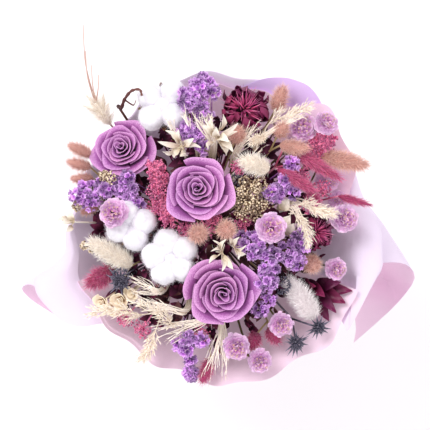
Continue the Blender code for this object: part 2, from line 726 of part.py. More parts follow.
def between(keys, degrees):
    """A value at an angle, eased between the angles that are given."""
    if degrees <= keys[0][0]:
        return keys[0][1]
    for (low, first), (high, second) in zip(keys, keys[1:]):
        if degrees <= high:
            share = (degrees - low) / (high - low)
            share = share * share * (3 - 2 * share)
            return first + (second - first) * share
    return keys[-1][1]


def polar(radius, degrees, height):
    angle = math.radians(degrees)
    return Vector((radius * math.cos(angle), radius * math.sin(angle), height))


def pleat(degrees, depth):
    return depth * math.cos(PLEATS * math.radians(degrees))


def wrap_rows(hem):
    """The rows of a sheet from its hem to the last below its rim: radius, height, pleat depth."""
    heights = (hem, SHORT_HEM) if hem < SHORT_HEM else (SHORT_HEM,)
    rows = [(WRAP_WAIST + SKIRT_SLOPE * (TIE_BOTTOM - height), height, SKIRT_PLEAT * (TIE_BOTTOM - height))
            for height in heights]
    rows += [(WRAP_WAIST, TIE_BOTTOM, 0.0), (WRAP_WAIST, TIE_TOP, 0.0)]
    rows += [(r * MM, cup_height(r * MM), CUP_PLEAT) for r in (65, 124.5)]
    return rows


# The mouths of the two rolls: degrees by which the sheet's end moves, by the share of the roll
RIGHT_MOUTH = ((0, 0), (0.25, 9), (0.5, 23), (0.75, 19), (1, -4))
LEFT_MOUTH = ((0, 0), (0.25, -12), (0.5, -26), (0.75, -25), (1, -13))
# How much of that shift each angle takes
RIGHT_SHARE = ((-34, 1), (20, 0))
LEFT_SHARE = ((185, 0), (225, 1))


def sheet(name, start, end, hem, layer, rim, material, roll=None, roll_turn=None):
    """A sheet of paper round the bouquet between two angles.

    rim gives the radius of its rim by angle. roll and roll_turn give, by angle, the radius of the
    roll that its edge is turned out into and how far round it goes.
    """
    rows = wrap_rows(hem)
    columns = round((end - start) / COLUMN_STEP)
    roll_rows = 4 if roll else 0
    last = len(rows) + roll_rows

    def surface(a, b):
        degrees = start + (end - start) * (a + 1) / 2
        row = round(b * last)
        if row < len(rows):
            radius, height, depth = rows[row]
            if height > TIE_TOP:
                radius = min(radius, between(rim, degrees) * MM - RIM_ROW)
                height = cup_height(radius)
            height -= layer * LAYER_DROP * max(0.0, (radius - WRAP_WAIST) / CUP_RADIUS)
            return polar(radius + layer * LAYER_STEP + pleat(degrees, depth), degrees, height)
        turn = 0.0
        if roll:
            whole = math.radians(between(roll_turn, degrees))
            share = (row - len(rows)) / roll_rows
            turn = whole * share
            right = between(RIGHT_MOUTH, share) * between(RIGHT_SHARE, degrees)
            left = between(LEFT_MOUTH, share) * between(LEFT_SHARE, degrees)
            degrees += right + left
        edge = between(rim, degrees) * MM
        radius = edge + layer * LAYER_STEP + pleat(degrees, CUP_PLEAT)
        height = cup_height(edge) - layer * LAYER_DROP
        if roll:
            size = between(roll, degrees) * MM
            radius += size * (math.sin(ROLL_LEAN) + math.sin(turn - ROLL_LEAN))
            height += size * (math.cos(turn - ROLL_LEAN) - math.cos(ROLL_LEAN))
        return polar(radius, degrees, height)

    fuse(name, [blade(surface, columns, last, PAPER, Matrix.Identity(4))], material)


sheet("wrap_film", 0, 112.5, SHORT_HEM, 0,
      ((0, 123), (12, 126), (23, 136), (35, 141), (46, 144), (56, 128), (112.5, 122)), FILM)
sheet("wrap_front", -157.5, -22.5, SHORT_HEM, 1,
      ((-157.5, 116), (-137, 118), (-117, 120), (-108, 124), (-96, 125), (-84, 134), (-53, 136),
       (-42, 141), (-22.5, 136)), PAPER_PINK)
sheet("wrap_corner", 45, 78.75, SHORT_HEM, 1, ((45, 138), (54, 147), (66, 144), (79, 130)), SATIN)
sheet("wrap_outer", -33.75, 225, LONG_HEM, 2,
      ((-34, 139), (-22, 128), (-8, 123), (8, 123), (20, 127), (75, 129), (98, 127), (112, 122),
       (126, 113), (150, 109), (184, 112), (198, 116), (225, 119)), PAPER_LILAC,
      roll=((-38, 22), (-25, 30), (-15, 45), (-11, 40), (0, 21), (9, 10), (22, 3), (178, 3),
            (190, 8), (195, 18), (198, 33), (225, 36)),
      roll_turn=((-38, 170), (-15, 235), (4, 200), (22, 60), (178, 60), (190, 200), (200, 220),
                 (225, 170)))


# The binding under the paper and the ribbon over it

def ring(profile, steps):
    """A closed profile of radius and height turned round the bouquet's axis."""
    bm = bmesh.new()
    verts = [bm.verts.new((radius, 0, height)) for radius, height in profile]
    for first, second in zip(verts, verts[1:] + verts[:1]):
        bm.edges.new((first, second))
    piece = loose(bm)
    turn = piece.modifiers.new("turn", "SCREW")
    turn.steps = turn.render_steps = steps
    turn.use_merge_vertices = True
    turn.merge_threshold = 0.00001
    solid = baked(piece)
    bm = bmesh.new()
    bm.from_mesh(solid.data)
    bmesh.ops.recalc_face_normals(bm, faces=bm.faces)
    bm.to_mesh(solid.data)
    bm.free()
    return solid


low = TIE_BOTTOM + 2 * MM
inner = BUNDLE_RADIUS + 0.3 * MM
outer = WRAP_WAIST - PAPER / 2 - 0.3 * MM
steps_up = [(outer - (0.4 * MM if k % 2 else 0.0), low + 3 * MM * k) for k in range(5)]
fuse("binding_twine", [ring([(inner, low)] + steps_up + [(inner, low + 12 * MM)],
                            16)], TWINE)

inner = WRAP_WAIST + 2 * LAYER_STEP + PAPER / 2 + 0.4 * MM
band = ring([(inner, 109.5 * MM), (inner + 1.0 * MM, 109.5 * MM),
                     (inner + 1.0 * MM, 124 * MM), (inner, 124 * MM)], 16)
front = -(inner + 1.0 * MM)
knot = ball((0, front - 3.0 * MM, 117 * MM), 5.8 * MM, 1, (1.1, 1, 1.15), (0.15, 0.1, 1))
pieces = [band, knot]
for side in (-1, 1):
    def loop(a, b, side=side):
        swing = 2 * math.pi * b
        x = side * (3.6 + 33 * math.sin(swing / 2) ** 1.2) * MM
        z = (115.5 + 3 * b + 9 * math.sin(swing)) * MM
        return Vector((x, front - (3.4 + 4.6 * a + 0.10 * abs(x) / MM) * MM, z))

    def tail(a, b, side=side):
        x = side * (3.2 + 19 * b) * MM + (2.4 + 3.6 * b) * a * MM
        return Vector((x, front - (2 + 40 * b) * MM, (115 - 62 * b - 5 * side * b) * MM))

    pieces.append(blade(loop, 1, 6, PAPER, Matrix.Identity(4)))
    pieces.append(blade(tail, 1, 2, PAPER, Matrix.Identity(4)))
fuse("ribbon", pieces, SATIN)
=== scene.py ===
"""The looks of the dried flower bouquet, on the frame that the CAD model gives."""

import math
import random

import bmesh
import bpy
from mathutils import Matrix, Vector, noise


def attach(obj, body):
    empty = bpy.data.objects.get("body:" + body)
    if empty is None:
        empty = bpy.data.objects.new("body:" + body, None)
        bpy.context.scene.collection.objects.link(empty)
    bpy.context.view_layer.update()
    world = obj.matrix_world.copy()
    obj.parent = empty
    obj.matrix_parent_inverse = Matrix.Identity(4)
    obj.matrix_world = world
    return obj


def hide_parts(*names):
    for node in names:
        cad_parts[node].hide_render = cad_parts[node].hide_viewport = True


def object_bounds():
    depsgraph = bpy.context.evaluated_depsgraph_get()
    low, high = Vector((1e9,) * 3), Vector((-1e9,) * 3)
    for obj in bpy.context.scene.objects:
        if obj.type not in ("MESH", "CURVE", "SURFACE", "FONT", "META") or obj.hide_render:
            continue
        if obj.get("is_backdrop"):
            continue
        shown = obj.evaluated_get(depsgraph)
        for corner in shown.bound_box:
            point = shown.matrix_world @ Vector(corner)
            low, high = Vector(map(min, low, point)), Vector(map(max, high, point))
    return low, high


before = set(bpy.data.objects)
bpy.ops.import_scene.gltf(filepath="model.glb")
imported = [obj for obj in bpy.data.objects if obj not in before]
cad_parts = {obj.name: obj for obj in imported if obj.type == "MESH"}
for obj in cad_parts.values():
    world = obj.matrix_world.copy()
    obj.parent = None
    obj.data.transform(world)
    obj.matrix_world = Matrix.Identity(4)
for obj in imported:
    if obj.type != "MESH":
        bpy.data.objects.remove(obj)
cad_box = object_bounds()

# Studio: the photograph looks straight down on the bouquet, which stands on a pale table under
# a broad soft light from the upper left, with a weaker one across from it. All places here are
# reckoned from the tie. BOX_MIDDLE leads from there to the middle of the object's box.
MM = 0.001
BOX_MIDDLE = Vector((12.88 * MM, 19 * MM, 0))
PIXEL = 0.85 * MM
PHOTO_WIDTH = 430 * PIXEL
HEAD_LEVEL = 270 * MM
CAMERA_RISE = 3.5
VIEW_MIDDLE = Vector((6.8 * MM, 11 * MM, HEAD_LEVEL + CAMERA_RISE))

camera = bpy.data.objects.new("camera", bpy.data.cameras.new("camera"))
bpy.context.scene.collection.objects.link(camera)
camera.location = VIEW_MIDDLE - BOX_MIDDLE
camera.data.lens = camera.data.sensor_width * CAMERA_RISE / PHOTO_WIDTH
camera.data.clip_end = 20
bpy.context.scene.camera = camera

HEADS = Vector((0, 0, HEAD_LEVEL))
LAMPS = (("key_light", (-0.9, 0.9, 1.9), 24, 0.9), ("fill_light", (1.2, -0.7, 1.5), 8, 1.4))
for name, place, power, size in LAMPS:
    lamp = bpy.data.objects.new(name, bpy.data.lights.new(name, "AREA"))
    bpy.context.scene.collection.objects.link(lamp)
    lamp.data.energy = power
    lamp.data.size = size
    lamp.location = place
    lamp.rotation_euler = (HEADS - Vector(place)).to_track_quat("-Z", "Y").to_euler()

SKY_STRENGTH = 0.89
world = bpy.data.worlds.new("studio")
bpy.context.scene.world = world
world.use_nodes = True
sky = world.node_tree.nodes["Background"]
sky.inputs["Color"].default_value = (1, 1, 1, 1)
sky.inputs["Strength"].default_value = SKY_STRENGTH
bpy.context.scene.view_settings.view_transform = "Standard"


class Wire:
    """What a node gives. It can be added, taken away and multiplied as in any sum."""

    def __init__(self, graph, socket):
        self.graph = graph
        self.socket = socket

    def reckon(self, operation, first, second):
        return self.graph.node("ShaderNodeMath", {0: first, 1: second}, operation=operation)

    def __add__(self, other):
        return self.reckon("ADD", self, other)

    def __sub__(self, other):
        return self.reckon("SUBTRACT", self, other)

    def __rsub__(self, other):
        return self.reckon("SUBTRACT", other, self)

    def __mul__(self, other):
        return self.reckon("MULTIPLY", self, other)

    __radd__ = __add__
    __rmul__ = __mul__


class Graph:
    """The nodes of one finish or one shape, added one at a time."""

    def __init__(self, tree):
        self.tree = tree
        self.inlets = {}

    def node(self, kind, sockets=None, out=0, **settings):
        """Adds a node: its settings first, then the values or wires of its sockets."""
        node = self.tree.nodes.new(kind)
        stops = settings.pop("stops", ())
        for name, value in settings.items():
            setattr(node, name, value)
        for number, (place, colour) in enumerate(stops):
            ends = node.color_ramp.elements
            stop = ends[number] if number < 2 else ends.new(place)
            stop.position = place
            stop.color = colour
        for name, value in (sockets or {}).items():
            self.feed(node.inputs[name], value)
        return Wire(self, node.outputs[out])

    def feed(self, socket, value):
        if isinstance(value, Wire):
            self.tree.links.new(value.socket, socket)
        else:
            socket.default_value = value


def screen(red, green, blue):
    """A colour as it looks on screen, for a shader."""
    return (*((c / 255) ** 2.2 for c in (red, green, blue)), 1.0)


def new_finish(name, roughness):
    """A material and its graph, with the shader's roughness set."""
    material = bpy.data.materials.new(name)
    material.use_nodes = True
    graph = Graph(material.node_tree)
    shader = material.node_tree.nodes["Principled BSDF"]
    shader.inputs["Roughness"].default_value = roughness
    return material, graph, shader


# Table: a wide board, painted a pale matt white with hardly any cloudiness in it. It is the
# floor of the studio and no part of the bouquet.
TABLE_HALF = 4
material, graph, shader = new_finish("table_top", 0.6)
spots = graph.node("ShaderNodeTexNoise", {"Scale": 3.0, "Detail": 2.0})
graph.feed(shader.inputs["Base Color"], graph.node(
    "ShaderNodeValToRGB", {"Fac": spots},
    stops=((0, screen(250, 249, 251)), (1, screen(254, 254, 255)))))
table = bpy.data.objects.new("table_top", bpy.data.meshes.new("table_top"))
bm = bmesh.new()
bmesh.ops.create_grid(bm, x_segments=1, y_segments=1, size=TABLE_HALF)
bm.to_mesh(table.data)
bm.free()
table.data.materials.append(material)
bpy.context.scene.collection.objects.link(table)
table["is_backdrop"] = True

# Stems: every head was dried on its own stem. The stems are drawn together in a spiral, bound,
# and cut level below, so that the bunch stands on their splayed ends.
TIE_TOP = 126 * MM
TIE_BOTTOM = 108 * MM
SHARP_EDGE = math.radians(55)
GRAIN_DEPTH = 0.0004


def petal_finish(name, stops, roughness=0.75, spread=0.22, grain=900, relief=0.25, sheen=0.0,
                 painted_glow=0.04):
    """Dried petal, leaf, hair or stem: the stops give its colours from root to tip, and it glows faintly in
    them, painted light.
    """
    material, graph, shader = new_finish(name, roughness)
    place = graph.node("ShaderNodeTexCoord", out="Object")
    along = graph.node("ShaderNodeAttribute", out="Fac", attribute_name="along")
    own = graph.node("ShaderNodeAttribute", out="Fac", attribute_name="own")
    fine = graph.node("ShaderNodeTexNoise", {"Vector": place, "Scale": grain, "Detail": 3.0})
    broad = graph.node("ShaderNodeTexNoise", {"Vector": place, "Scale": 60.0, "Detail": 2.0})
    colours = tuple((share, screen(*colour)) for share, colour in stops)
    body = graph.node("ShaderNodeValToRGB", {"Fac": along + (fine - 0.5) * 0.2}, stops=colours)
    tone = 1.0 + (own - 0.5) * 2 * spread + (broad - 0.5) * 0.3 + (fine - 0.5) * 0.2
    tinted = graph.node("ShaderNodeHueSaturation",
                        {"Hue": 0.5 + (own - 0.5) * 0.03, "Value": tone, "Color": body})
    graph.feed(shader.inputs["Base Color"], tinted)
    # Painted light: the surface glows a little in its own colour, so that its shaded parts come out
    # lighter.
    graph.feed(shader.inputs["Emission Color"], tinted)
    shader.inputs["Emission Strength"].default_value = painted_glow
    graph.feed(shader.inputs["Normal"], graph.node(
        "ShaderNodeBump", {"Strength": relief, "Distance": GRAIN_DEPTH, "Height": fine}))
    shader.inputs["Sheen Weight"].default_value = sheen
    shader.inputs["Specular IOR Level"].default_value = 0.3
    return material


def settle(source, name, slot, material, *nodes):
    """The evaluated source as a plain mesh piece on the bouquet, in place of those CAD nodes."""
    bpy.context.scene.collection.objects.link(source)
    graph = bpy.context.evaluated_depsgraph_get()
    mesh = bpy.data.meshes.new_from_object(source.evaluated_get(graph))
    mesh.transform(Matrix.Translation(-BOX_MIDDLE))
    bpy.data.objects.remove(source)
    piece = bpy.data.objects.new(name, mesh)
    bpy.context.scene.collection.objects.link(piece)
    mesh.materials.clear()
    mesh.materials.append(material)
    mesh.shade_smooth()
    mesh.set_sharp_from_angle(angle=SHARP_EDGE)
    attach(piece, "root")
    if nodes:
        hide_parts(*nodes)


def shape_graph(name, inlets):
    """A Geometry Nodes tree with named inlets, and the wires that they give."""
    tree = bpy.data.node_groups.new(name, "GeometryNodeTree")
    face = tree.interface
    face.new_socket("Geometry", in_out="OUTPUT", socket_type="NodeSocketGeometry")
    face.new_socket("Geometry", in_out="INPUT", socket_type="NodeSocketGeometry")
    graph = Graph(tree)
    for label, kind in inlets.items():
        graph.inlets[label] = face.new_socket(label, in_out="INPUT", socket_type=kind).identifier
    entry = tree.nodes.new("NodeGroupInput")
    wires = {socket.name: Wire(graph, socket) for socket in entry.outputs if socket.name}
    return graph, wires


def end_shape(graph, geometry, material):
    """Ends a tree: instances made real, the material set."""
    real = graph.node("GeometryNodeRealizeInstances", {"Geometry": geometry})
    painted = graph.node("GeometryNodeSetMaterial", {"Geometry": real, "Material": material})
    graph.feed(graph.tree.nodes.new("NodeGroupOutput").inputs["Geometry"], painted)


def work(piece, graph, values):
    """Puts a Geometry Nodes tree on a piece with its inlets set."""
    modifier = piece.modifiers.new("work", "NODES")
    modifier.node_group = graph.tree
    for label, value in values.items():
        modifier[graph.inlets[label]] = value
    return piece


strand_graph, wires = shape_graph(
    "strands", {"Sides": "NodeSocketInt", "Material": "NodeSocketMaterial"})
marked = wires["Geometry"]
for key, kind, value in (
        ("along", "FLOAT", strand_graph.node("GeometryNodeSplineParameter")),
        ("flow", "FLOAT_VECTOR", strand_graph.node("GeometryNodeInputTangent")),
        ("amount", "FLOAT", 1.0)):
    marked = strand_graph.node("GeometryNodeStoreNamedAttribute",
                               {"Geometry": marked, "Name": key, "Value": value},
                               data_type=kind, domain="POINT")
marked = strand_graph.node("GeometryNodeStoreNamedAttribute", {
    "Geometry": marked, "Name": "own",
    "Value": strand_graph.node("FunctionNodeRandomValue", {"Seed": 3}, out=1)},
    data_type="FLOAT", domain="CURVE")
profile = strand_graph.node("GeometryNodeCurvePrimitiveCircle",
                            {"Resolution": wires["Sides"], "Radius": 1.0})
skin = strand_graph.node("GeometryNodeCurveToMesh", {
    "Curve": marked, "Profile Curve": profile, "Fill Caps": True,
    "Scale": strand_graph.node("GeometryNodeInputRadius")})
end_shape(strand_graph, skin, wires["Material"])


def strands(lines, sides, material):
    """Round stems or twigs: each line is its points and their radii."""
    curve = bpy.data.curves.new("strands", "CURVE")
    curve.dimensions = "3D"
    for points, radii in lines:
        spline = curve.splines.new("POLY")
        spline.points.add(len(points) - 1)
        for corner, place, radius in zip(spline.points, points, radii):
            corner.co = (*place, 1.0)
            corner.radius = radius
    source = bpy.data.objects.new("strands", curve)
    return work(source, strand_graph, {"Sides": sides, "Material": material})


def bundle(lines, sides, material, name, slot, *nodes):
    """Strands as one finished piece."""
    settle(strands(lines, sides, material), name, slot, material, *nodes)


def curved(points, steps=5):
    """Points on a smooth curve through the points given."""
    points = [Vector(point) for point in points]
    ends = [2 * points[0] - points[1]] + points + [2 * points[-1] - points[-2]]
    smooth = []
    for before, first, second, after in zip(ends, ends[1:], ends[2:], ends[3:]):
        for k in range(steps):
            t = k / steps
            bend = (2 * before - 5 * first + 4 * second - after) * t * t
            twist = (3 * first - before - 3 * second + after) * t ** 3
            smooth.append(first + ((second - before) * t + bend + twist) * 0.5)
    return smooth + [points[-1]]


def stem_route(mesh):
    """Where a solid's stem stands on the table and passes the tie, from cuts through the solid."""
    corners = [corner.co + BOX_MIDDLE for corner in mesh.vertices]
    route = []
    for height in (0.2 * MM, TIE_BOTTOM, TIE_TOP):
        ring = []
        for edge in mesh.edges:
            ends = [corners[number] for number in edge.vertices]
            low, high = sorted(ends, key=lambda corner: corner.z)
            if low.z <= height < high.z:
                ring.append(low.lerp(high, (height - low.z) / (high.z - low.z)))
        if not ring:
            return None
        route.append(sum(ring, Vector()) / len(ring))
    route[0].z = 0.0
    return route


ROUTES = {name: stem_route(solid.data) for name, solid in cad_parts.items()}


def stem_line(node, crown, radius=1.1 * MM, top=None):
    """A stem's smooth way from its cut end through the tie to its crown."""
    foot, low, high = ROUTES[node]
    points = curved([foot, foot.lerp(low, 0.5), low, high, high.lerp(crown, 0.3), crown]
                    + ([top] if top else []), 4)
    return points, [radius] * len(points)


def branch(start, end, radius, steps=4, aim=None, bend=0.6, sag=0.0):
    """A side stalk from a crown to its end, which bends where it is part of the way to its aim."""
    turn = start.lerp(end if aim is None else aim, bend) - Vector((0, 0, sag))
    line = curved([start, turn, end], steps)
    return line, [radius] * len(line)


STEM = petal_finish("dried_stem", ((0, (120, 104, 70)), (0.5, (96, 84, 56)), (1, (104, 92, 66))),
                    grain=400)

# Roses: three preserved roses, opened by hand so that the petals lie in a full spiral, with the
# outer ones rolled back at the lip. The calyx under each has five narrow sepals.
ROSES = {
    "rose_left": ((-75, 70, 268), 26, 0.3),
    "rose_centre": ((-8, 34, 304), 28, 1.0),
    "rose_front": ((14, -57, 299), 30, 0.6),
}
ROSE_PETALS = 20
ROSE_TURN = 2.399
SEPALS = 5
SEPAL_OUTLINE = ((3, -2), (8, -1), (12, -1.5), (15, -3))
FIFTH_TURN = 1.257
# Painted shade: the petals are near black at the root, standing in for the shade deep between them in the
# bloom. They have their own purple only towards the rim.
ROSE = petal_finish("rose_petal", ((0, (26, 6, 26)), (0.7, (92, 38, 88)), (0.9, (160, 88, 156)),
                                   (1, (220, 160, 214))),
                    roughness=0.6, spread=0.06, grain=1300, relief=0.12, sheen=0.1)


def mesh_of(points, faces, **values):
    """A mesh object, with a number or a vector for each point under each named value."""
    mesh = bpy.data.meshes.new("blank")
    mesh.from_pydata([tuple(point) for point in points], [], faces)
    for key, numbers in values.items():
        vector = isinstance(numbers[0], Vector)
        field = mesh.attributes.new(key, "FLOAT_VECTOR" if vector else "FLOAT", "POINT")
        flat = [part for number in numbers for part in number] if vector else numbers
        field.data.foreach_set("vector" if vector else "value", flat)
    return bpy.data.objects.new("blank", mesh)


def sheet_mesh(surfaces, across, along, thickness):
    """Thin bent blades: each surface gives a point for a from -1 to 1 and b from 0 to 1."""
    points, faces, shares, owns = [], [], [], []
    for number, surface in enumerate(surfaces):
        first = len(points)
        for row in range(along + 1):
            for column in range(across + 1):
                points.append(surface(column / across * 2 - 1, row / along))
                shares.append(row / along)
                owns.append((number * 0.618) % 1.0)
        for row in range(along):
            for column in range(across):
                corner = first + row * (across + 1) + column
                faces.append((corner, corner + 1, corner + across + 2, corner + across + 1))
    source = mesh_of(points, faces, along=shares, own=owns)
    if thickness:
        wall = source.modifiers.new("wall", "SOLIDIFY")
        wall.thickness = thickness
        wall.offset = 0.0
    return source


def outward(place, lean=0.5):
    """The way a head faces: up, and away from the middle by its lean. Places are in mm."""
    return Vector((place[0] * lean, place[1] * lean, 105)).normalized()


def standing(place, axis, turn=0.0):
    """The matrix that stands a piece at a place with its own Z along an axis."""
    lean = Vector(axis).normalized().to_track_quat("Z", "Y").to_matrix().to_4x4()
    return Matrix.Translation(place) @ lean @ Matrix.Rotation(turn, 4, "Z")


def rose_petal(shift, radius, number, rng):
    """One petal of the spiral, from the bud's heart outwards, as a surface."""
    share = number / (ROSE_PETALS - 1)
    around = Matrix.Rotation(number * ROSE_TURN + rng.uniform(-0.15, 0.15), 4, "Z")
    reach = 0.06 + 0.87 * share ** 1.05
    foot = 0.01 + 0.2 * share
    half = math.radians(130 - 80 * share ** 0.6)
    rim = -0.08 - 0.3 * share ** 2 + rng.uniform(-0.04, 0.04)
    lip = 0.01 + 0.1 * share ** 2
    wave = rng.uniform(0, 6.28)
    corner = 0.03 + 0.1 * share

    def surface(a, b):
        edge = b ** 9
        out = foot + (reach - foot) * (0.9 * b + 0.1 * b ** 4)
        out += lip * edge * (1 - 0.5 * a * a) + corner * (1 - abs(a)) ** 1.5 * b ** 8
        out += 0.07 * a * (0.3 + share) + 0.035 * math.sin(5 * a + wave) * edge
        angle = half * a * (0.5 + 0.5 * math.sin(b * math.pi / 2))
        height = -1.1 + (rim + 1.1) * b * (1 - 0.15 * a * a * b) - 0.6 * lip * b ** 18
        height += 0.015 * math.sin(6 * a + wave) * b ** 4
        spot = Vector((out * math.cos(angle), out * math.sin(angle), height))
        return shift @ around @ (spot * radius)

    return surface


for name, (top, radius, turn) in ROSES.items():
    axis = outward(top, 0.35)
    top, radius = Vector(top) * MM, radius * MM
    rng = random.Random(name)
    petals = [rose_petal(standing(top, axis, turn), radius, k, rng) for k in range(ROSE_PETALS)]
    settle(sheet_mesh(petals, 14, 12, 0.4 * MM), name + "_petals", "rose_petal", ROSE, name + "_bloom")
    crown = top - axis * (1.42 * radius + 5 * MM)
    seat = standing(top - axis * 1.44 * radius, axis)
    swell = [crown.lerp(seat.translation, k / 5) for k in range(6)]
    lines = [stem_line(name + "_stem", crown, 1.5 * MM),
             (swell, [r * MM for r in (1.6, 2.2, 3.6, 5.2, 6, 5.2)])]
    for k in range(SEPALS):
        flat = Vector((math.cos(FIFTH_TURN * k), math.sin(FIFTH_TURN * k), 0))
        sepal = [seat @ (flat * r * MM + Vector((0, 0, z * MM))) for r, z in SEPAL_OUTLINE]
        lines.append((sepal, [1.6 * MM, 1.4 * MM, 0.9 * MM, 0.2 * MM]))
    bundle(lines, 8, STEM, name + "_stalk", "dried_leaf", name + "_stem")

# Hare's-tail grass: each soft head is a short spike of dyed spikelets whose silky hairs stand
# out all round it, on a thin straw stem. They are dusty pink, cream or magenta.
THIRD_TURN = 2.094


def dress_graph(name, on_faces):
    """A tree that sets one shape all over a mesh's faces, or at each of its points."""
    inlets = {"Shape": "NodeSocketObject", "Density": "NodeSocketFloat", "Size": "NodeSocketFloat",
              "Unevenness": "NodeSocketFloat", "Spread": "NodeSocketFloat", "Seed": "NodeSocketInt",
              "Material": "NodeSocketMaterial"}
    graph, wires = shape_graph(name, inlets)
    if on_faces:
        points = graph.node("GeometryNodeDistributePointsOnFaces", {
            "Mesh": wires["Geometry"], "Density": wires["Density"], "Seed": wires["Seed"]})
    else:
        points = graph.node("GeometryNodeMeshToPoints", {"Mesh": wires["Geometry"]})
    flow, face, amount = (
        graph.node("GeometryNodeInputNamedAttribute", {"Name": key}, data_type=kind)
        for key, kind in (("flow", "FLOAT_VECTOR"), ("face", "FLOAT_VECTOR"), ("amount", "FLOAT")))
    stray = graph.node("FunctionNodeRandomValue", {
        "Min": (-1, -1, -1), "Max": (1, 1, 1), "Seed": wires["Seed"]}, data_type="FLOAT_VECTOR")
    stray = graph.node("ShaderNodeVectorMath", {0: stray, "Scale": wires["Spread"]}, operation="SCALE")
    way = graph.node("ShaderNodeVectorMath", {0: flow, 1: stray}, operation="ADD")
    turned = graph.node("FunctionNodeAlignRotationToVector", {"Vector": way}, axis="Z")
    faced = graph.node("FunctionNodeAlignRotationToVector", {"Rotation": turned, "Vector": face},
                       axis="Y", pivot_axis="Z")
    uneven = graph.node("FunctionNodeRandomValue", {2: -1.0, 3: 1.0, "Seed": wires["Seed"]}, out=1)
    size = wires["Size"] * amount * (1.0 + wires["Unevenness"] * uneven)
    shape = graph.node("GeometryNodeObjectInfo", {"Object": wires["Shape"]}, out=4)
    placed = graph.node("GeometryNodeInstanceOnPoints", {
        "Points": points, "Instance": shape, "Rotation": faced, "Scale": size})
    own = graph.node("FunctionNodeRandomValue", {"Seed": 5}, out=1)
    placed = graph.node("GeometryNodeStoreNamedAttribute", {
        "Geometry": placed, "Name": "own", "Value": own}, data_type="FLOAT", domain="INSTANCE")
    if on_faces:
        both = graph.tree.nodes.new("GeometryNodeJoinGeometry")
        graph.feed(both.inputs[0], placed)
        graph.feed(both.inputs[0], wires["Geometry"])
        placed = Wire(graph, both.outputs[0])
    end_shape(graph, placed, wires["Material"])
    return graph


def dress(graph, core, shape, material, size, density=0.0, uneven=0.3, spread=0.2, seed=1):
    """The core covered with, or its points replaced by, copies of the shape."""
    return work(core, graph, {"Shape": shape, "Material": material, "Size": size, "Density": density,
                              "Unevenness": uneven, "Spread": spread, "Seed": seed})


fur_graph = dress_graph("fur", True)
cluster_graph = dress_graph("cluster", False)


def crown_under(points, drop):
    """Where the stem of these heads ends: below their middle, on the way to the tie."""
    middle = sum((Vector(point) for point in points), Vector()) / len(points)
    way = Vector((0, 0, TIE_TOP / MM)) - middle
    return (middle + way.normalized() * drop) * MM


def hair_shape(width):
    """A hair one unit long, with three sides that meet at its tip."""
    foot = [(width * math.cos(THIRD_TURN * k), width * math.sin(THIRD_TURN * k), 0) for k in range(3)]
    return mesh_of(foot + [(0, 0, 1)], [(0, 1, 3), (1, 2, 3), (2, 0, 3)], along=[0.0, 0.0, 0.0, 1.0])


def lathe(stations, sides, lean=0.8, waver=0.0):
    """A round body through stations of place and radius, its hairs leaning towards its tip."""
    points, faces, flows, shares = [], [], [], []
    tip = (Vector(stations[-1][0]) - Vector(stations[0][0])).normalized()
    turn = tip.to_track_quat("Z", "Y").to_matrix()
    for row, (place, radius) in enumerate(stations):
        for k in range(sides):
            angle = 2 * math.pi * (k + 0.5 * (row % 2)) / sides
            side = turn @ Vector((math.cos(angle), math.sin(angle), 0))
            points.append(Vector(place) + side * radius * (1 + waver * math.sin(7 * angle + 5 * row)))
            upswept = lean + max(0, row / (len(stations) - 1) - 0.7) * 4
            flows.append((side + tip * upswept).normalized())
            shares.append(0.25 * row / len(stations))
    for row in range(len(stations) - 1):
        for k in range(sides):
            near, far = row * sides + k, row * sides + (k + 1) % sides
            faces += [(near, far, far + sides), (near, far + sides, near + sides)]
    last = len(points) - sides
    faces += [tuple(range(sides))[::-1], tuple(range(last, last + sides))]
    return points, faces, flows, shares


def joined_cores(bodies):
    """One mesh of several bodies, with what their hairs need at every point."""
    points, faces, flows, shares, amounts = [], [], [], [], []
    for (spots, sheets, ways, places), amount in bodies:
        faces += [tuple(corner + len(points) for corner in sheet) for sheet in sheets]
        points += spots
        flows += ways
        shares += places
        amounts += [amount] * len(spots)
    return mesh_of(points, faces, flow=flows, face=flows, along=shares, amount=amounts,
                   own=[0.5] * len(points))
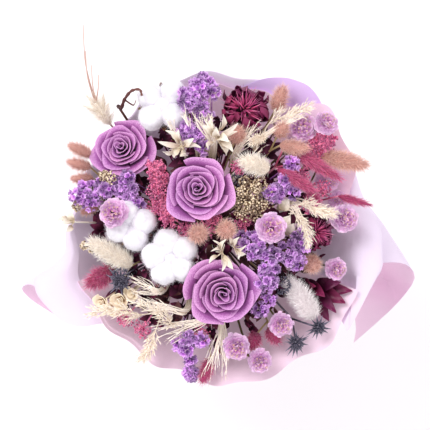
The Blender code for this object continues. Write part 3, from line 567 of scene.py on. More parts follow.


# The tails glow a little in their own colour, painted light in the shade inside their fur. Cream and white
# glow most.
DUSTY = petal_finish("tail_dusty_pink", ((0, (186, 132, 122)), (0.5, (228, 182, 170)),
                                         (1, (248, 222, 212))),
                     roughness=0.85, spread=0.2, sheen=0.4, painted_glow=0.08)
CREAM = petal_finish("tail_cream", ((0, (220, 206, 192)), (0.5, (244, 236, 226)), (1, (254, 251, 247))),
                     roughness=0.85, spread=0.14, sheen=0.4, painted_glow=0.12)
MAGENTA = petal_finish("tail_magenta", ((0, (146, 44, 88)), (0.5, (206, 84, 134)),
                                        (1, (238, 152, 186))),
                       roughness=0.85, spread=0.2, sheen=0.4)
WHITE = petal_finish("tail_white", ((0, (222, 212, 214)), (1, (252, 247, 248))),
                     roughness=0.85, spread=0.12, sheen=0.2, painted_glow=0.12)
STRAW = petal_finish("straw_stem", ((0, (176, 152, 108)), (1, (196, 176, 136))), grain=400)
TAILS = {
    "tail_right": (DUSTY, ((98, 61, 264), (141, 52, 269), 7.5)),
    "tail_top": (DUSTY, ((58, 100, 258), (66, 122, 268), 6.5)),
    "tail_upper": (DUSTY, ((24, 76, 268), (27, 83, 294), 6.5)),
    "tail_pair": (DUSTY, ((62, 70, 276), (88, 67, 285), 6), ((60, 79, 268), (67, 88, 286), 6)),
    "tail_middle": (DUSTY, ((-6, -6, 286), (-9, -4, 312), 7), ((14, 0, 286), (19, -3, 312), 7)),
    "tail_peach": (DUSTY, ((88, -28, 252), (91, -34, 276), 7)),
    "tails_left": (DUSTY, ((-99, 62, 248), (-120, 72, 264), 5.5),
                   ((-100, 52, 247), (-121, 57, 263), 5.5),
                   ((-98, 42, 244), (-118, 42, 260), 5), ((-94, 20, 242), (-108, 12, 255), 5)),
    "cream_upper": (CREAM, ((52, 49, 286), (26, 59, 298), 7.5)),
    "cream_left": (CREAM, ((-64, -32, 256), (-104, -9, 262), 8)),
    "white_right": (WHITE, ((92, -77, 258), (67, -41, 270), 8.5)),
    "magenta_left": (MAGENTA, ((-80, -36, 242), (-104, -50, 250), 8)),
    "magenta_front": (MAGENTA, ((3, -112, 252), (-5, -134, 262), 5.5)),
    "magenta_right": (MAGENTA, ((43, -90, 250), (37, -104, 260), 6),
                      ((52, -86, 252), (62, -99, 260), 6)),
}
TAIL_SLOTS = {DUSTY: "tail_dusty_pink", CREAM: "tail_cream", WHITE: "tail_cream",
              MAGENTA: "tail_magenta"}
CROWNS = {"magenta_right": Vector((52, -80, 234)) * MM}
HAIR = hair_shape(0.028)
TAIL_OUTLINE = ((0, 0.25), (0.08, 0.5), (0.22, 0.66), (0.4, 0.7), (0.6, 0.64), (0.8, 0.46),
                (0.95, 0.18))
for name, (material, *heads) in TAILS.items():
    crown = CROWNS.get(name) or crown_under([head[0] for head in heads], 20)
    bodies, lines = [], [stem_line(name, crown, 0.9 * MM)]
    for base, tip, radius in heads:
        base, tip, radius = Vector(base) * MM, Vector(tip) * MM, radius * MM
        droop = Vector((0, 0, (tip - base).length * 0.06))
        stations = []
        for share, fullness in TAIL_OUTLINE:
            middle = base.lerp(tip, share * 0.93) + droop * math.sin(math.pi * share)
            stations.append((middle, radius * fullness))
        bodies.append((lathe(stations, 10, 0.75, 0.06), radius))
        lines.append(branch(crown, base, 0.8 * MM, 5))
    core = joined_cores(bodies)
    fluff = dress(fur_graph, core, HAIR, material, 0.8, density=1700000, uneven=0.45, spread=0.5,
                  seed=len(name))
    settle(fluff, name + "_fluff", TAIL_SLOTS[material], material, name)
    bundle(lines, 6, STRAW, name + "_straw", "bleached_grass", name)

# Cotton: three bolls. Each has four or five locks of white fibre, which are soft lumps with a
# haze of loose fibres, sitting in the brown lobes of the dried husk.
COTTON = {
    "cotton_top": ((-38, 104, 270), 14, 11.5, 4, 0.52),
    "cotton_left": ((-64, 2, 268), 11, 11.5, 4, 0.35),
    "cotton_centre": ((-31, -25, 277), 13.5, 11.5, 5, 0.17),
}
# Painted shade: the fibre is greyer at its roots and in the lumps' hollows, deep in the fluff, and near
# white at its tips and on the puffs.
COTTON_WHITE = petal_finish("cotton_fibre", ((0, (206, 198, 208)), (0.4, (232, 228, 236)),
                                             (1, (246, 244, 248))),
                            roughness=0.95, spread=0.05, grain=260, relief=0.5, sheen=0.5)
HUSK = petal_finish("dried_husk", ((0, (58, 38, 28)), (0.5, (96, 66, 44)), (1, (134, 98, 66))), grain=300)
FIBRE = hair_shape(0.02)


def lumpy_ball(place, axis, radius, stretch, lump, seed, detail=3):
    """A soft lump of fibre with its surface drawn into puffs, painted darker in the hollows between them.
    """
    bm = bmesh.new()
    bmesh.ops.create_icosphere(bm, subdivisions=detail, radius=1.0)
    shift = standing(place, axis)
    points, flows, shares = [], [], []
    for corner in bm.verts:
        side = corner.co.normalized()
        puff = noise.noise(side * 1.7 + Vector((seed, 0, 0)))
        puff += 0.4 * noise.noise(side * 4.5 + Vector((0, seed, 0)))
        spot = Vector((side.x, side.y, side.z * stretch)) * radius * (1 + lump * puff)
        points.append(shift @ spot)
        flows.append((shift.to_3x3() @ side).normalized())
        # Painted shade: the colour share follows the puff, so the lump is greyer in its hollows and whitest
        # on its puffs.
        shares.append(0.5 + 0.5 * puff)
    faces = [tuple(corner.index for corner in face.verts) for face in bm.faces]
    bm.free()
    return points, faces, flows, shares


for name, (middle, offset, lock, count, turn) in COTTON.items():
    axis = outward(middle, 0.25)
    middle, offset, lock = Vector(middle) * MM, offset * MM, lock * MM
    shift = standing(middle, axis, turn)
    bodies = [(lumpy_ball(middle, axis, 0.9 * lock, 0.8, 0.1, 9, 2), lock)]
    for k in range(count):
        angle = 2 * math.pi * k / count
        spot = shift @ Vector((offset * math.cos(angle), offset * math.sin(angle), 0.15 * lock))
        bodies.append((lumpy_ball(spot, axis, 0.97 * lock, 1.08, 0.13, k + offset / MM), lock))
    fluff = dress(fur_graph, joined_cores(bodies), FIBRE, COTTON_WHITE, 0.2, density=900000, uneven=0.5,
                  spread=0.9, seed=count)
    settle(fluff, name + "_locks", "cotton_fibre", COTTON_WHITE, name + "_fibre")
    low = -0.8 * lock
    lobes = []
    for k in range(count):
        turned = Matrix.Rotation(2 * math.pi * (k + 0.5) / count, 4, "Z")
        reach, lift = offset + 0.62 * lock, 0.75 if count < 5 else 0.3

        def lobe(a, b, turned=turned, reach=reach, lift=lift, low=low, lock=lock, shift=shift):
            out = 0.1 * lock + (reach - 0.1 * lock) * b
            rise = lift * lock * max(0.0, b - 0.55) / 0.45
            half = 0.42 * lock * math.sin(math.pi * (0.12 + 0.85 * b))
            trough = 0.1 * lock * (a * a - 0.5 + 0.15 * math.sin(9 * b))
            return shift @ turned @ Vector((out, half * a, low - 0.17 * lock + rise * b + trough))

        lobes.append(lobe)
    settle(sheet_mesh(lobes, 6, 8, 0.7 * MM), name + "_lobes", "dried_husk", HUSK, name + "_husk")
    crown = middle - axis * 1.7 * lock
    line, widths = stem_line(name + "_husk", crown, 1.3 * MM, middle + axis * low)
    widths[-4:] = [1.8 * MM, 2.4 * MM, 3.2 * MM, 4.2 * MM]
    bundle([(line, widths)], 8, HUSK, name + "_stalk", "dried_husk", name + "_husk")

# Curled twig: a bent dark vine tip, cut from the plant and dried in its curl. It is thicker at
# its knots, and a small hooked tendril grows from it.
TWIG = petal_finish("vine_tip", ((0, (56, 32, 34)), (0.5, (84, 50, 52)), (1, (112, 72, 68))),
                    grain=350, relief=0.5)
ARC = ((-76, 104, 250), (-73, 102, 262), (-70, 109, 276), (-64, 116, 284), (-57, 117, 287),
       (-55, 112, 286))
TENDRIL = ((-70, 109, 276), (-66, 106, 282), (-62, 104, 286), (-60, 108, 288))
arc, tendril = (curved([Vector(point) * MM for point in points], steps)
                for points, steps in ((ARC, 5), (TENDRIL, 4)))
knots = [1.7 * MM + 0.3 * MM * math.sin(2.1 * k) - 0.03 * MM * k for k in range(len(arc))]
bundle([stem_line("curled_twig", Vector(ARC[0]) * MM, 1.2 * MM), (arc, knots),
        (tendril, [0.7 * MM] * 9 + [0.4 * MM] * 4)], 8, TWIG, "vine_tip", "dried_husk", "curled_twig")

# Statice: stiff forked stems that end in crowded clumps of small papery violet cups, each with
# five pointed lobes and a paler throat.
VIOLET = petal_finish("statice_violet", ((0, (98, 50, 122)), (0.5, (174, 114, 192)), (1, (222, 182, 232))),
                      roughness=0.7, spread=0.5, grain=700)
GOLDEN_TURN = 2.39996
UPWARDS = Vector((0, 0, 1))
SIDEWAYS = Vector((1, 0, 0))
STATICE = {
    "statice_top": (((-4, 121, 262), 9), ((-16, 110, 286), 7.5), ((-8, 102, 276), 8),
                    ((-14, 82, 286), 8)),
    "statice_left": (((-84, 36, 264), 9), ((-100, 30, 260), 9), ((-68, 33, 270), 8)),
    "statice_right": (((38, -16, 296), 9), ((54, -28, 292), 10), ((70, -20, 284), 9),
                      ((50, -44, 286), 8), ((80, -8, 276), 7)),
    "statice_middle": (((68, 38, 268), 7), ((57, 29, 276), 6.5)),
    "statice_front": (((-15, -95, 268), 6.5), ((-14, -124, 258), 5)),
}


def cup_shape(lobes, depth, flare, mouth=0.45):
    """A small cup flower one unit tall, with pointed lobes round its mouth."""
    points, shares, faces = [(0, 0, 0)], [0.0], []
    ring = lobes * 2
    rings = ((mouth * 0.55, depth * 0.5), (mouth, depth), (flare, 1.0))
    for level, (radius, height) in enumerate(rings):
        for k in range(ring):
            angle = 2 * math.pi * k / ring
            tip = 1.0 if k % 2 == 0 else (0.72 if level == 2 else 0.95)
            drop = 0.0 if k % 2 == 0 else (0.22 if level == 2 else 0.0)
            points.append((radius * tip * math.cos(angle), radius * tip * math.sin(angle),
                           height - drop))
            shares.append((0.25, 0.5, 1.0)[level])
    for k in range(ring):
        far = (k + 1) % ring
        faces.append((0, 1 + k, 1 + far))
        for level in range(2):
            low, high = 1 + level * ring, 1 + (level + 1) * ring
            faces += [(low + k, high + k, high + far), (low + k, high + far, low + far)]
    return mesh_of(points, faces, along=shares)


def ball_places(middle, axis, radius, count, rng, low=-0.35, depth=0.2):
    """Places and outward ways spread evenly over the outer side of a ball."""
    shift = standing(middle, axis).to_3x3()
    for k in range(count):
        rise = 1 - (1 - low) * (k + 0.5) / count
        angle = GOLDEN_TURN * k + rng.uniform(-0.3, 0.3)
        flat = math.sqrt(max(0.0, 1 - rise * rise))
        way = shift @ Vector((flat * math.cos(angle), flat * math.sin(angle), rise))
        yield middle + way * radius * (1 - depth * rng.random()), way


def cloud_of(spots):
    """Loose points with the way, the side and the size of what will stand on each."""
    places, ways, sides, amounts = zip(*spots)
    return mesh_of(places, [], flow=list(ways), face=list(sides), amount=list(amounts))


def scatter(spots, shape, material, name, slot, *nodes, **values):
    """A shape set on loose spots, as one finished piece."""
    settle(dress(cluster_graph, cloud_of(spots), shape, material, 1.0, **values), name, slot, material,
           *nodes)


def any_way(rng, rise=1.0):
    """A way that points anywhere, less so up and down when the rise is small."""
    return Vector((rng.gauss(0, 1), rng.gauss(0, 1), rng.gauss(0, rise)))


CUP = cup_shape(5, 0.35, 0.75)
CLUMPS = 6
CLUMP_TURN = 1.05
for name, heads in STATICE.items():
    rng = random.Random(name)
    crown = crown_under([middle for middle, radius in heads], 28)
    lines, spots = [stem_line(name, crown, 1.0 * MM)], []
    for middle, radius in heads:
        axis = outward(middle)
        middle, radius = Vector(middle) * MM, radius * MM
        under = middle - axis * 0.9 * radius
        lines.append(branch(crown, under, 0.8 * MM, sag=2 * MM))
        clumps = []
        for k in range(CLUMPS):
            a = rng.uniform(0, 0.6) + CLUMP_TURN * k
            way = Vector((math.cos(a) * 1.6, math.sin(a) * 1.6, rng.uniform(-0.5, 0.7)))
            way = standing(Vector(), axis) @ way
            clumps.append((middle + way * radius * 0.52, way))
        for spot, way in clumps + [(middle + axis * radius * 0.5, axis)]:
            lines.append(([under, under.lerp(spot, 0.5), spot], [0.5 * MM] * 3))
            wide = radius * rng.uniform(0.26, 0.42)
            for place, out in ball_places(spot, (way + axis).normalized(), wide, 15, rng, -0.3, 0.5):
                spots.append((place - out * 1.2 * MM, out, UPWARDS, rng.uniform(2.5, 3.9) * MM))
    scatter(spots, CUP, VIOLET, name + "_florets", "statice_violet", name, uneven=0.15, spread=0.35,
            seed=4)
    bundle(lines, 6, STEM, name + "_branches", "statice_violet", name)

# Everlastings: papery lilac heads on thin stems. Their rounded petals lie in many turns round a
# cream eye of tiny florets.
LILAC = petal_finish("everlasting_lilac", ((0, (186, 122, 180)), (0.5, (222, 168, 216)),
                                           (1, (246, 218, 242))),
                     roughness=0.75, spread=0.16, grain=600, sheen=0.2, painted_glow=0.06)
EYE = petal_finish("everlasting_eye", ((0, (206, 160, 160)), (1, (242, 222, 206))), grain=900)
LILACS = {
    "lilac_left": (((-79, 13, 286), 12),),
    "lilac_centre": (((54, 0, 302), 12.5),),
    "lilac_top": (((101, 89, 276), 10), ((80, 85, 264), 13)),
    "lilac_right": (((117, 8, 268), 11.5),),
    "lilac_far_right": (((103, 41, 246), 10), ((112, 24, 242), 8), ((100, 62, 248), 9)),
    "lilac_low": (((110, -35, 258), 9),),
    "lilac_front": (((25, -101, 275), 11), ((45, -113, 270), 10)),
    "lilac_front_right": (((63, -82, 272), 10),),
}
CROWNS["lilac_left"] = Vector((-90, 26, 244)) * MM
CROWNS["lilac_front"] = Vector((36, -110, 248)) * MM


def blade_shape(rows, width, bow, cross=2, fold=0.0):
    """A petal or leaf one unit long: rows gives its width at each share of its length."""
    points, shares, faces = [], [], []
    for number, (share, wide) in enumerate(rows):
        for k in range(cross + 1):
            a = k / cross * 2 - 1
            rise = bow * math.sin(share * 2.4) + fold * abs(a) * wide * width
            points.append((a * wide * width, rise, share))
            shares.append(share)
    for row in range(len(rows) - 1):
        for k in range(cross):
            corner = row * (cross + 1) + k
            faces.append((corner, corner + 1, corner + cross + 2, corner + cross + 1))
    return mesh_of(points, faces, along=shares)


PAPERY = blade_shape(((0, 0.4), (0.4, 0.9), (0.75, 1.0), (0.93, 0.75), (1, 0.3)), 0.34, -0.2, 2, -0.4)
SEED = cup_shape(3, 0.6, 0.5, 0.4)
for name, heads in LILACS.items():
    rng = random.Random(name)
    crown = CROWNS.get(name) or crown_under([middle for middle, radius in heads], 28)
    lines, spots, eyes = [stem_line(name, crown, 1.0 * MM)], [], []
    for middle, radius in heads:
        axis = outward(middle, 0.4)
        middle, radius = Vector(middle) * MM, radius * MM
        lines.append(branch(crown, middle - axis * 0.3 * radius, 0.8 * MM, aim=middle))
        heart = middle - axis * 0.1 * radius
        for place, out in ball_places(heart, axis, radius * 0.55, 220, rng, -0.45, 0.25):
            facing = (axis - out * out.dot(axis) * 0.9).normalized()
            spots.append((place, out, facing, radius * rng.uniform(0.42, 0.6)))
        for place, out in ball_places(middle, axis, radius * 0.82, 26, rng, 0.62, 0.12):
            eyes.append((place, out, SIDEWAYS, radius * rng.uniform(0.12, 0.18)))
    scatter(spots, PAPERY, LILAC, name + "_petals", "everlasting_lilac", name, uneven=0.12, spread=0.22,
            seed=2)
    scatter(eyes, SEED, EYE, name + "_eye", "everlasting_lilac", name, spread=0.3)
    bundle(lines, 6, STEM, name + "_stalk", "everlasting_lilac", name)

# Feather spikes: slim dyed grass heads at the upper right, with hairs pressed towards the tip.
# Each sits on a wiry side stalk, and the stalks share one stem.
SPIKES = {
    "spikes_upper": (((60, 50, 278), (90, 32, 284), 5.5), ((66, 70, 270), (114, 41, 275), 6),
                     ((70, 54, 266), (96, 22, 270), 5)),
    "spike_right": (((112, 27, 258), (141, 19, 263), 4),),
}
SPIKE_OUTLINE = ((0, 0.2), (0.15, 0.5), (0.4, 0.62), (0.65, 0.45), (0.85, 0.22), (0.97, 0.05))
for name, heads in SPIKES.items():
    crown = crown_under([head[0] for head in heads], 20)
    bodies, lines = [], [stem_line(name, crown, 0.9 * MM)]
    for base, tip, radius in heads:
        base, tip, radius = Vector(base) * MM, Vector(tip) * MM, radius * MM
        stations = [(base.lerp(tip, share) + Vector((0, 0, 1.5 * MM * math.sin(math.pi * share))),
                     radius * fullness) for share, fullness in SPIKE_OUTLINE]
        bodies.append((lathe(stations, 8, 1.9, 0.1), radius * 1.6))
        lines.append(branch(crown, base, 0.8 * MM, 5))
    spikes = dress(fur_graph, joined_cores(bodies), HAIR, MAGENTA, 0.75, density=1700000, uneven=0.4,
                   spread=0.2, seed=7)
    settle(spikes, name + "_fluff", "tail_magenta", MAGENTA, name)
    bundle(lines, 6, MAGENTA, name + "_straw", "tail_magenta", name)

# Pampas: a pale tuft of silky plumes at the top left, broken off a large plume. It has small
# tufts all round, and hair-thin awns stand far out of it.
PLUME_OUTLINE = ((0, 0.2), (0.2, 0.5), (0.5, 0.62), (0.8, 0.4), (1.0, 0.12))
TUFT_OUTLINE = ((0.1, 0.3), (0.4, 0.6), (0.7, 0.5), (1.0, 0.1))
TUFTS = 7
NEXT_TURN = 2.4
AWN_TIPS = ((-105, 172, 282), (-103, 150, 280), (-98, 138, 278), (-92, 130, 278))
AWN = petal_finish("pampas_awn", ((0, (186, 146, 136)), (1, (204, 168, 162))), spread=0.1)
crown, tip = crown_under([(-86, 92, 248)], 6), Vector((-95, 106, 266)) * MM
rng = random.Random(31)
bodies = [(lathe([(crown.lerp(tip, share), 6 * MM * fullness) for share, fullness in PLUME_OUTLINE],
                 9, 1.4, 0.15), 12 * MM)]
lines = [stem_line("pampas", crown, 0.9 * MM)]
for k in range(TUFTS):
    angle = NEXT_TURN * k
    end = tip + Vector((math.cos(angle), math.sin(angle), 0.4)) * 11 * MM
    start = crown.lerp(tip, 0.4)
    stations = [(start.lerp(end, share), 2.2 * MM * fullness) for share, fullness in TUFT_OUTLINE]
    bodies.append((lathe(stations, 6, 1.8, 0.1), 7 * MM))
for end in AWN_TIPS:
    end = Vector(end) * MM
    bend = Vector((rng.uniform(-3, 3), 0, 5)) * MM
    lines.append((curved([tip - Vector((0, 0, 4 * MM)), tip.lerp(end, 0.5) + bend, end], 6),
                  [0.66 * MM - 0.018 * MM * k for k in range(13)]))
plume = dress(fur_graph, joined_cores(bodies), hair_shape(0.016), CREAM, 0.95, density=900000,
              uneven=0.5, spread=0.45, seed=11)
settle(plume, "pampas_plume", "tail_cream", CREAM, "pampas")
bundle(lines, 5, AWN, "pampas_awns", "tail_cream", "pampas")

# Pink sprays and bleached grasses: both fork and fork again on wiry twigs. The sprays are dyed
# raspberry pink and thick with tiny buds at their ends, the grasses carry pointed spikelets.
# The sprays and grasses glow a little in their own colour, painted light in the shade among their twigs.
CORAL = petal_finish("pink_spray", ((0, (146, 50, 92)), (0.5, (204, 90, 142)), (1, (240, 162, 196))),
                     spread=0.5, painted_glow=0.14)
GRASS = petal_finish("bleached_grass", ((0, (206, 186, 160)), (0.4, (236, 222, 206)), (1, (252, 244, 236))),
                     spread=0.12, grain=700, painted_glow=0.1)
SPRAYS = {
    "coral_left": (CORAL, (((-40, 40, 268), (-44, 52, 276)), 15),
                   (((-38, 22, 268), (-32, 10, 278)), 15)),
    "coral_right": (CORAL, (((92, 70, 258), (104, 76, 266)), 15)),
    "grass_front": (GRASS, (((-56, -74, 258), (-76, -71, 262), (-98, -71, 264)), 17),
                    (((-44, -88, 258), (-48, -100, 262), (-54, -110, 266)), 14),
                    (((-30, -82, 268), (-38, -74, 276), (-60, -62, 278)), 14)),
    "grass_upper": (GRASS, (((54, 90, 270), (68, 95, 277), (86, 102, 280)), 16),
                    (((46, 76, 282), (40, 74, 294)), 11)),
    "grass_right": (GRASS, (((80, 20, 278), (92, 16, 284), (106, 13, 284)), 14),
                    (((72, 14, 282), (82, 2, 290), (86, -12, 290)), 12)),
}
BUD = cup_shape(3, 0.7, 0.28, 0.42)
SPIKELET = blade_shape(((0, 0.3), (0.3, 1.0), (0.65, 0.75), (1, 0.06)), 0.062, -0.06, 2, -0.7)
# For each kind: slot, shape of its ends, twigs, forks, how far they open, ends at each tip, how
# far those lie apart, how far they point astray, and their sizes in mm.
SPRAY_KINDS = {
    CORAL: ("pink_spray", BUD, 26, 5, 0.75, 4, 1, 0.5, (1.5, 2.4)),
    GRASS: ("bleached_grass", SPIKELET, 22, 4, 0.4, 2, 2, 0.14, (3.6, 6)),
}


def sprig(points, reach, twigs, forks, rng, spread):
    """A bent axis with branchlets on all sides that fork again: its lines, and the ends of all."""
    axis_line = curved(points, 5)
    thinning = [0.75 * MM - 0.4 * MM * k / len(axis_line) for k in range(len(axis_line))]
    lines, tips = [(axis_line, thinning)], []
    for k in range(twigs):
        share = 0.3 + 0.68 * k / twigs
        spot = share * (len(axis_line) - 1)
        low = min(int(spot), len(axis_line) - 2)
        start = axis_line[low].lerp(axis_line[low + 1], spot - low)
        way = (axis_line[low + 1] - axis_line[low]).normalized()
        side = way.orthogonal().normalized()
        side.rotate(Matrix.Rotation(NEXT_TURN * k + rng.uniform(-0.3, 0.3), 3, way))
        heading = way * math.cos(spread) + side * math.sin(spread)
        length = reach * (1 - 0.5 * share) * rng.uniform(0.75, 1.0)
        end = start + heading * length
        lift = Vector((0, 0, rng.uniform(-0.06, 0.06) * length))
        bend = start.lerp(end, 0.5) + side * length * 0.1 + lift
        twig = curved([start, bend, end], 4)
        lines.append((twig, [0.42 * MM] * 5 + [0.3 * MM] * 4))
        tips.append((end, heading))
        for fork in range(forks):
            place = twig[2 + fork * 6 // forks]
            off = heading.orthogonal().normalized()
            off.rotate(Matrix.Rotation(NEXT_TURN * fork + k, 3, heading))
            turn = (heading + off * spread * 1.1).normalized()
            finish = place + turn * length * rng.uniform(0.25, 0.45)
            lines.append(([place, place.lerp(finish, 0.5), finish], [0.3 * MM, 0.28 * MM, 0.22 * MM]))
            tips.append((finish, turn))
            tips.append((place.lerp(finish, 0.5), turn))
    return lines, tips


for name, (material, *branches) in SPRAYS.items():
    rng = random.Random(name)
    slot, shape, twig_count, forks, opening, ends, apart, astray, sizes = SPRAY_KINDS[material]
    crown = crown_under([route[0] for route, reach in branches], 22)
    lines, spots = [stem_line(name, crown, 0.9 * MM)], []
    for route, reach in branches:
        points = [crown] + [Vector(point) * MM for point in route]
        twigs, tips = sprig(points, reach * MM, twig_count, forks, rng, opening)
        lines += twigs
        for spot, way in tips:
            for k in range(ends):
                back = rng.uniform(-1.5, 0.3) * MM * apart
                side = any_way(rng)
                spots.append((spot + way * back, (way + side * astray).normalized(), side,
                              rng.uniform(*sizes) * MM))
    scatter(spots, shape, material, name + "_tips", slot, name, uneven=0.2, spread=0.1)
    bundle(lines, 5, material, name + "_twigs", slot, name)

# Gold seeds: round dry beads on threads, crowded into dense heads. Each bead is painted pale gold above
# and dark brown below, painted light and shade on its round side. The threads rise from the end of one
# stem and spread into a low dome.
GOLD = petal_finish("seed_gold", ((0, (72, 48, 36)), (0.5, (162, 130, 100)), (1, (240, 222, 198))),
                    roughness=0.5, spread=0.5)
SEED_HEADS = 11
SEED_REACH = 12
middle = Vector((35, 26, 290))
crown = crown_under([middle], 24)
rng = random.Random(21)
bm = bmesh.new()
bmesh.ops.create_icosphere(bm, subdivisions=1, radius=0.5)
# Painted light and shade: each bead's colour share rises from its inner side to its outer side, so it is
# dark brown underneath and pale gold on top.
BEAD = mesh_of([corner.co + Vector((0, 0, 0.5)) for corner in bm.verts],
               [tuple(corner.index for corner in face.verts) for face in bm.faces],
               along=[corner.co.z + 0.5 for corner in bm.verts])
bm.free()
lines, spots = [stem_line("gold_seeds", crown, 1.0 * MM)], []
for k in range(SEED_HEADS):
    angle, ring = NEXT_TURN * k, 2.1 * SEED_REACH * math.sqrt((k + 0.5) / SEED_HEADS) * 0.72
    drop = -0.03 * ring ** 2 + rng.uniform(-3, 2)
    clump = (middle + Vector((ring * math.cos(angle), ring * math.sin(angle), drop))) * MM
    lines.append(branch(crown, clump, 0.6 * MM))
    for place, out in ball_places(clump, outward(clump / MM), 4.4 * MM, 40, rng, -0.6, 0.45):
        spots.append((place, out, SIDEWAYS, rng.uniform(1.5, 2.6) * MM))
scatter(spots, BEAD, GOLD, "gold_beads", "seed_gold", "gold_seeds", uneven=0.1, spread=0.1)
bundle(lines, 5, GOLD, "gold_threads", "seed_gold", "gold_seeds")

# Thistles: blue-grey burrs of close pointed scales over a ruff of stiff narrow bracts. They were
# cut and dried before they opened.
THISTLE = petal_finish("thistle_blue", ((0, (46, 42, 56)), (0.6, (86, 84, 102)), (1, (142, 136, 152))),
                       spread=0.2)
THISTLES = {
    "thistles_right": (((76, -98, 264), 6), ((95, -85, 264), 5.5)),
    "thistles_left": (((-74, -46, 260), 6),),
}
BRACTS = 13
FLORET_LEAN = 0.3
PRICKLE = cup_shape(3, 0.3, 0.04, 0.2)
BRACT = blade_shape(((0, 0.5), (0.25, 1.0), (0.6, 0.7), (1, 0.04)), 0.09, 0.1, 2, 0.5)
for name, heads in THISTLES.items():
    rng = random.Random(name)
    crown = crown_under([middle for middle, radius in heads], 28)
    lines, spots, ruffs = [stem_line(name, crown, 1.0 * MM)], [], []
    for middle, radius in heads:
        axis = outward(middle)
        middle, radius = Vector(middle) * MM, radius * MM
        lines.append(branch(crown, middle - axis * 0.3 * radius, 0.8 * MM, aim=middle))
        for place, out in ball_places(middle, axis, radius * 0.72, 90, rng, -0.5, 0.1):
            spots.append((place, (out + axis * FLORET_LEAN).normalized(), SIDEWAYS, radius * 0.5))
        shift = standing(middle, axis).to_3x3()
        for k in range(BRACTS):
            angle = 2 * math.pi * k / BRACTS + rng.uniform(-0.15, 0.15)
            way = shift @ Vector((math.cos(angle), math.sin(angle), rng.uniform(-0.1, 0.35)))
            ruffs.append((middle - axis * 0.5 * radius, way.normalized(), axis,
                          radius * rng.uniform(1.9, 2.5)))
    scatter(spots, PRICKLE, THISTLE, name + "_burrs", "thistle_blue", name, uneven=0.2, spread=0.2)
    scatter(ruffs, BRACT, THISTLE, name + "_bracts", "thistle_blue", name, uneven=0.1, spread=0.1)
    bundle(lines, 6, THISTLE, name + "_stalk", "thistle_blue", name)

# Wine blooms: dark preserved flowers whose long glossy petals curl back over a heart of
# raspberry-pink stamens.
WINE = petal_finish("wine_petal", ((0, (36, 8, 24)), (0.5, (74, 20, 46)), (1, (132, 46, 88))),
                    roughness=0.42, spread=0.3, grain=300, relief=0.4)
WINES = {"wine_cup": ((32, 101, 264), 28, 34), "wine_bloom": ((93, -4, 258), 20, 34)}


def curled_petal(shift, radius, number, count, rng):
    """A long narrow petal that rises from the heart and rolls back over it."""
    around = Matrix.Rotation(GOLDEN_TURN * number + rng.uniform(-0.2, 0.2), 4, "Z")
    inner = 1 - number / count
    reach = radius * (1.0 - 0.5 * inner) * rng.uniform(0.85, 1.0)
    half = radius * rng.uniform(0.08, 0.19)
    roll = math.radians(rng.uniform(105, 165))
    wave = rng.uniform(0, 6.28)
    twist = rng.uniform(-0.5, 0.5)

    def surface(a, b):
        bend = b * roll
        out = 0.08 * radius + reach * 0.62 * math.sin(bend) + 0.22 * reach * b
        height = (-0.25 - 0.1 * inner) * radius + reach * (0.34 + 0.2 * inner) * (1 - math.cos(bend))
        wide = half * a * (0.35 + 0.65 * math.sin(math.pi * min(1.0, b * 0.85 + 0.05)))
        ruffle = 0.06 * radius * math.sin(9 * b + wave) * a
        lean = twist * b
        rise = height + ruffle + 0.12 * half * a * a
        return shift @ around @ Vector((out - wide * math.sin(lean), wide * math.cos(lean), rise))

    return surface


for name, (middle, radius, count) in WINES.items():
    rng = random.Random(name)
    axis = outward(middle)
    place, radius = Vector(middle) * MM, radius * MM
    shift = standing(place, axis)
    petals = [curled_petal(shift, radius, k, count, rng) for k in range(count)]
    settle(sheet_mesh(petals, 4, 12, 0.5 * MM), name + "_petals", "wine_petal", WINE, name)
    spots = [(spot, way, SIDEWAYS, radius * rng.uniform(0.35, 0.6)) for spot, way in
             ball_places(place - axis * 0.1 * radius, axis, radius * 0.3, 90, rng, 0.0, 0.2)]
    scatter(spots, hair_shape(0.06), CORAL, name + "_heart", "wine_petal", name, spread=0.35)
    stalk = stem_line(name, crown_under([middle], 12), 1.4 * MM, place - axis * 0.25 * radius)
    bundle([stalk], 8, WINE, name + "_stalk", "wine_petal", name)

# Wine leaves: a spray of dark glossy leaves at the lower right, preserved while still supple. Each
# grows on a short twig, with a folded midrib and a waved edge.
WINE_LEAVES = (((114, -46, 256), 6), ((118, -64, 256), 7), ((104, -80, 252), 6), ((92, -50, 262), 6),
               ((124, -54, 250), 6), ((110, -72, 262), 5.5), ((100, -58, 266), 6))
crown = crown_under([tip for tip, half in WINE_LEAVES[:4]], 30)


def leaf_surface(base, tip, half, sag, seed, roll=0.0):
    """A leaf with a folded midrib, a waved edge and side veins, rolled about its own length."""
    way = tip - base
    side = way.cross(UPWARDS).normalized()
    side.rotate(Matrix.Rotation(roll, 3, way))
    up = side.cross(way).normalized()

    def surface(a, b):
        width = half * max(0.04, math.sin(math.pi * b ** 0.85) ** 0.85)
        fold = 0.35 * width * abs(a) + sag * math.sin(math.pi * b)
        vein = 0.05 * half * math.sin(26 * b - 7 * abs(a))
        ruffle = 0.16 * half * math.sin(11 * b + seed + 2 * a) * abs(a)
        return base + way * b + side * (a * width) + up * (fold + vein + ruffle)

    return surface


leaves, lines = [], [stem_line("wine_leaves", crown, 1.4 * MM)]
for tip, half in WINE_LEAVES:
    end = Vector(tip) * MM
    leaves.append(leaf_surface(crown.lerp(end, 0.12), end, half * MM, 3 * MM, half * 7 + tip[0]))
    lines.append(([crown, crown.lerp(end, 0.3), end], [1.0 * MM, 0.8 * MM, 0.2 * MM]))
settle(sheet_mesh(leaves, 8, 24, 0.35 * MM), "wine_leaves_blades", "wine_petal", WINE, "wine_leaves")
bundle(lines, 6, WINE, "wine_leaves_stalk", "wine_petal", "wine_leaves")

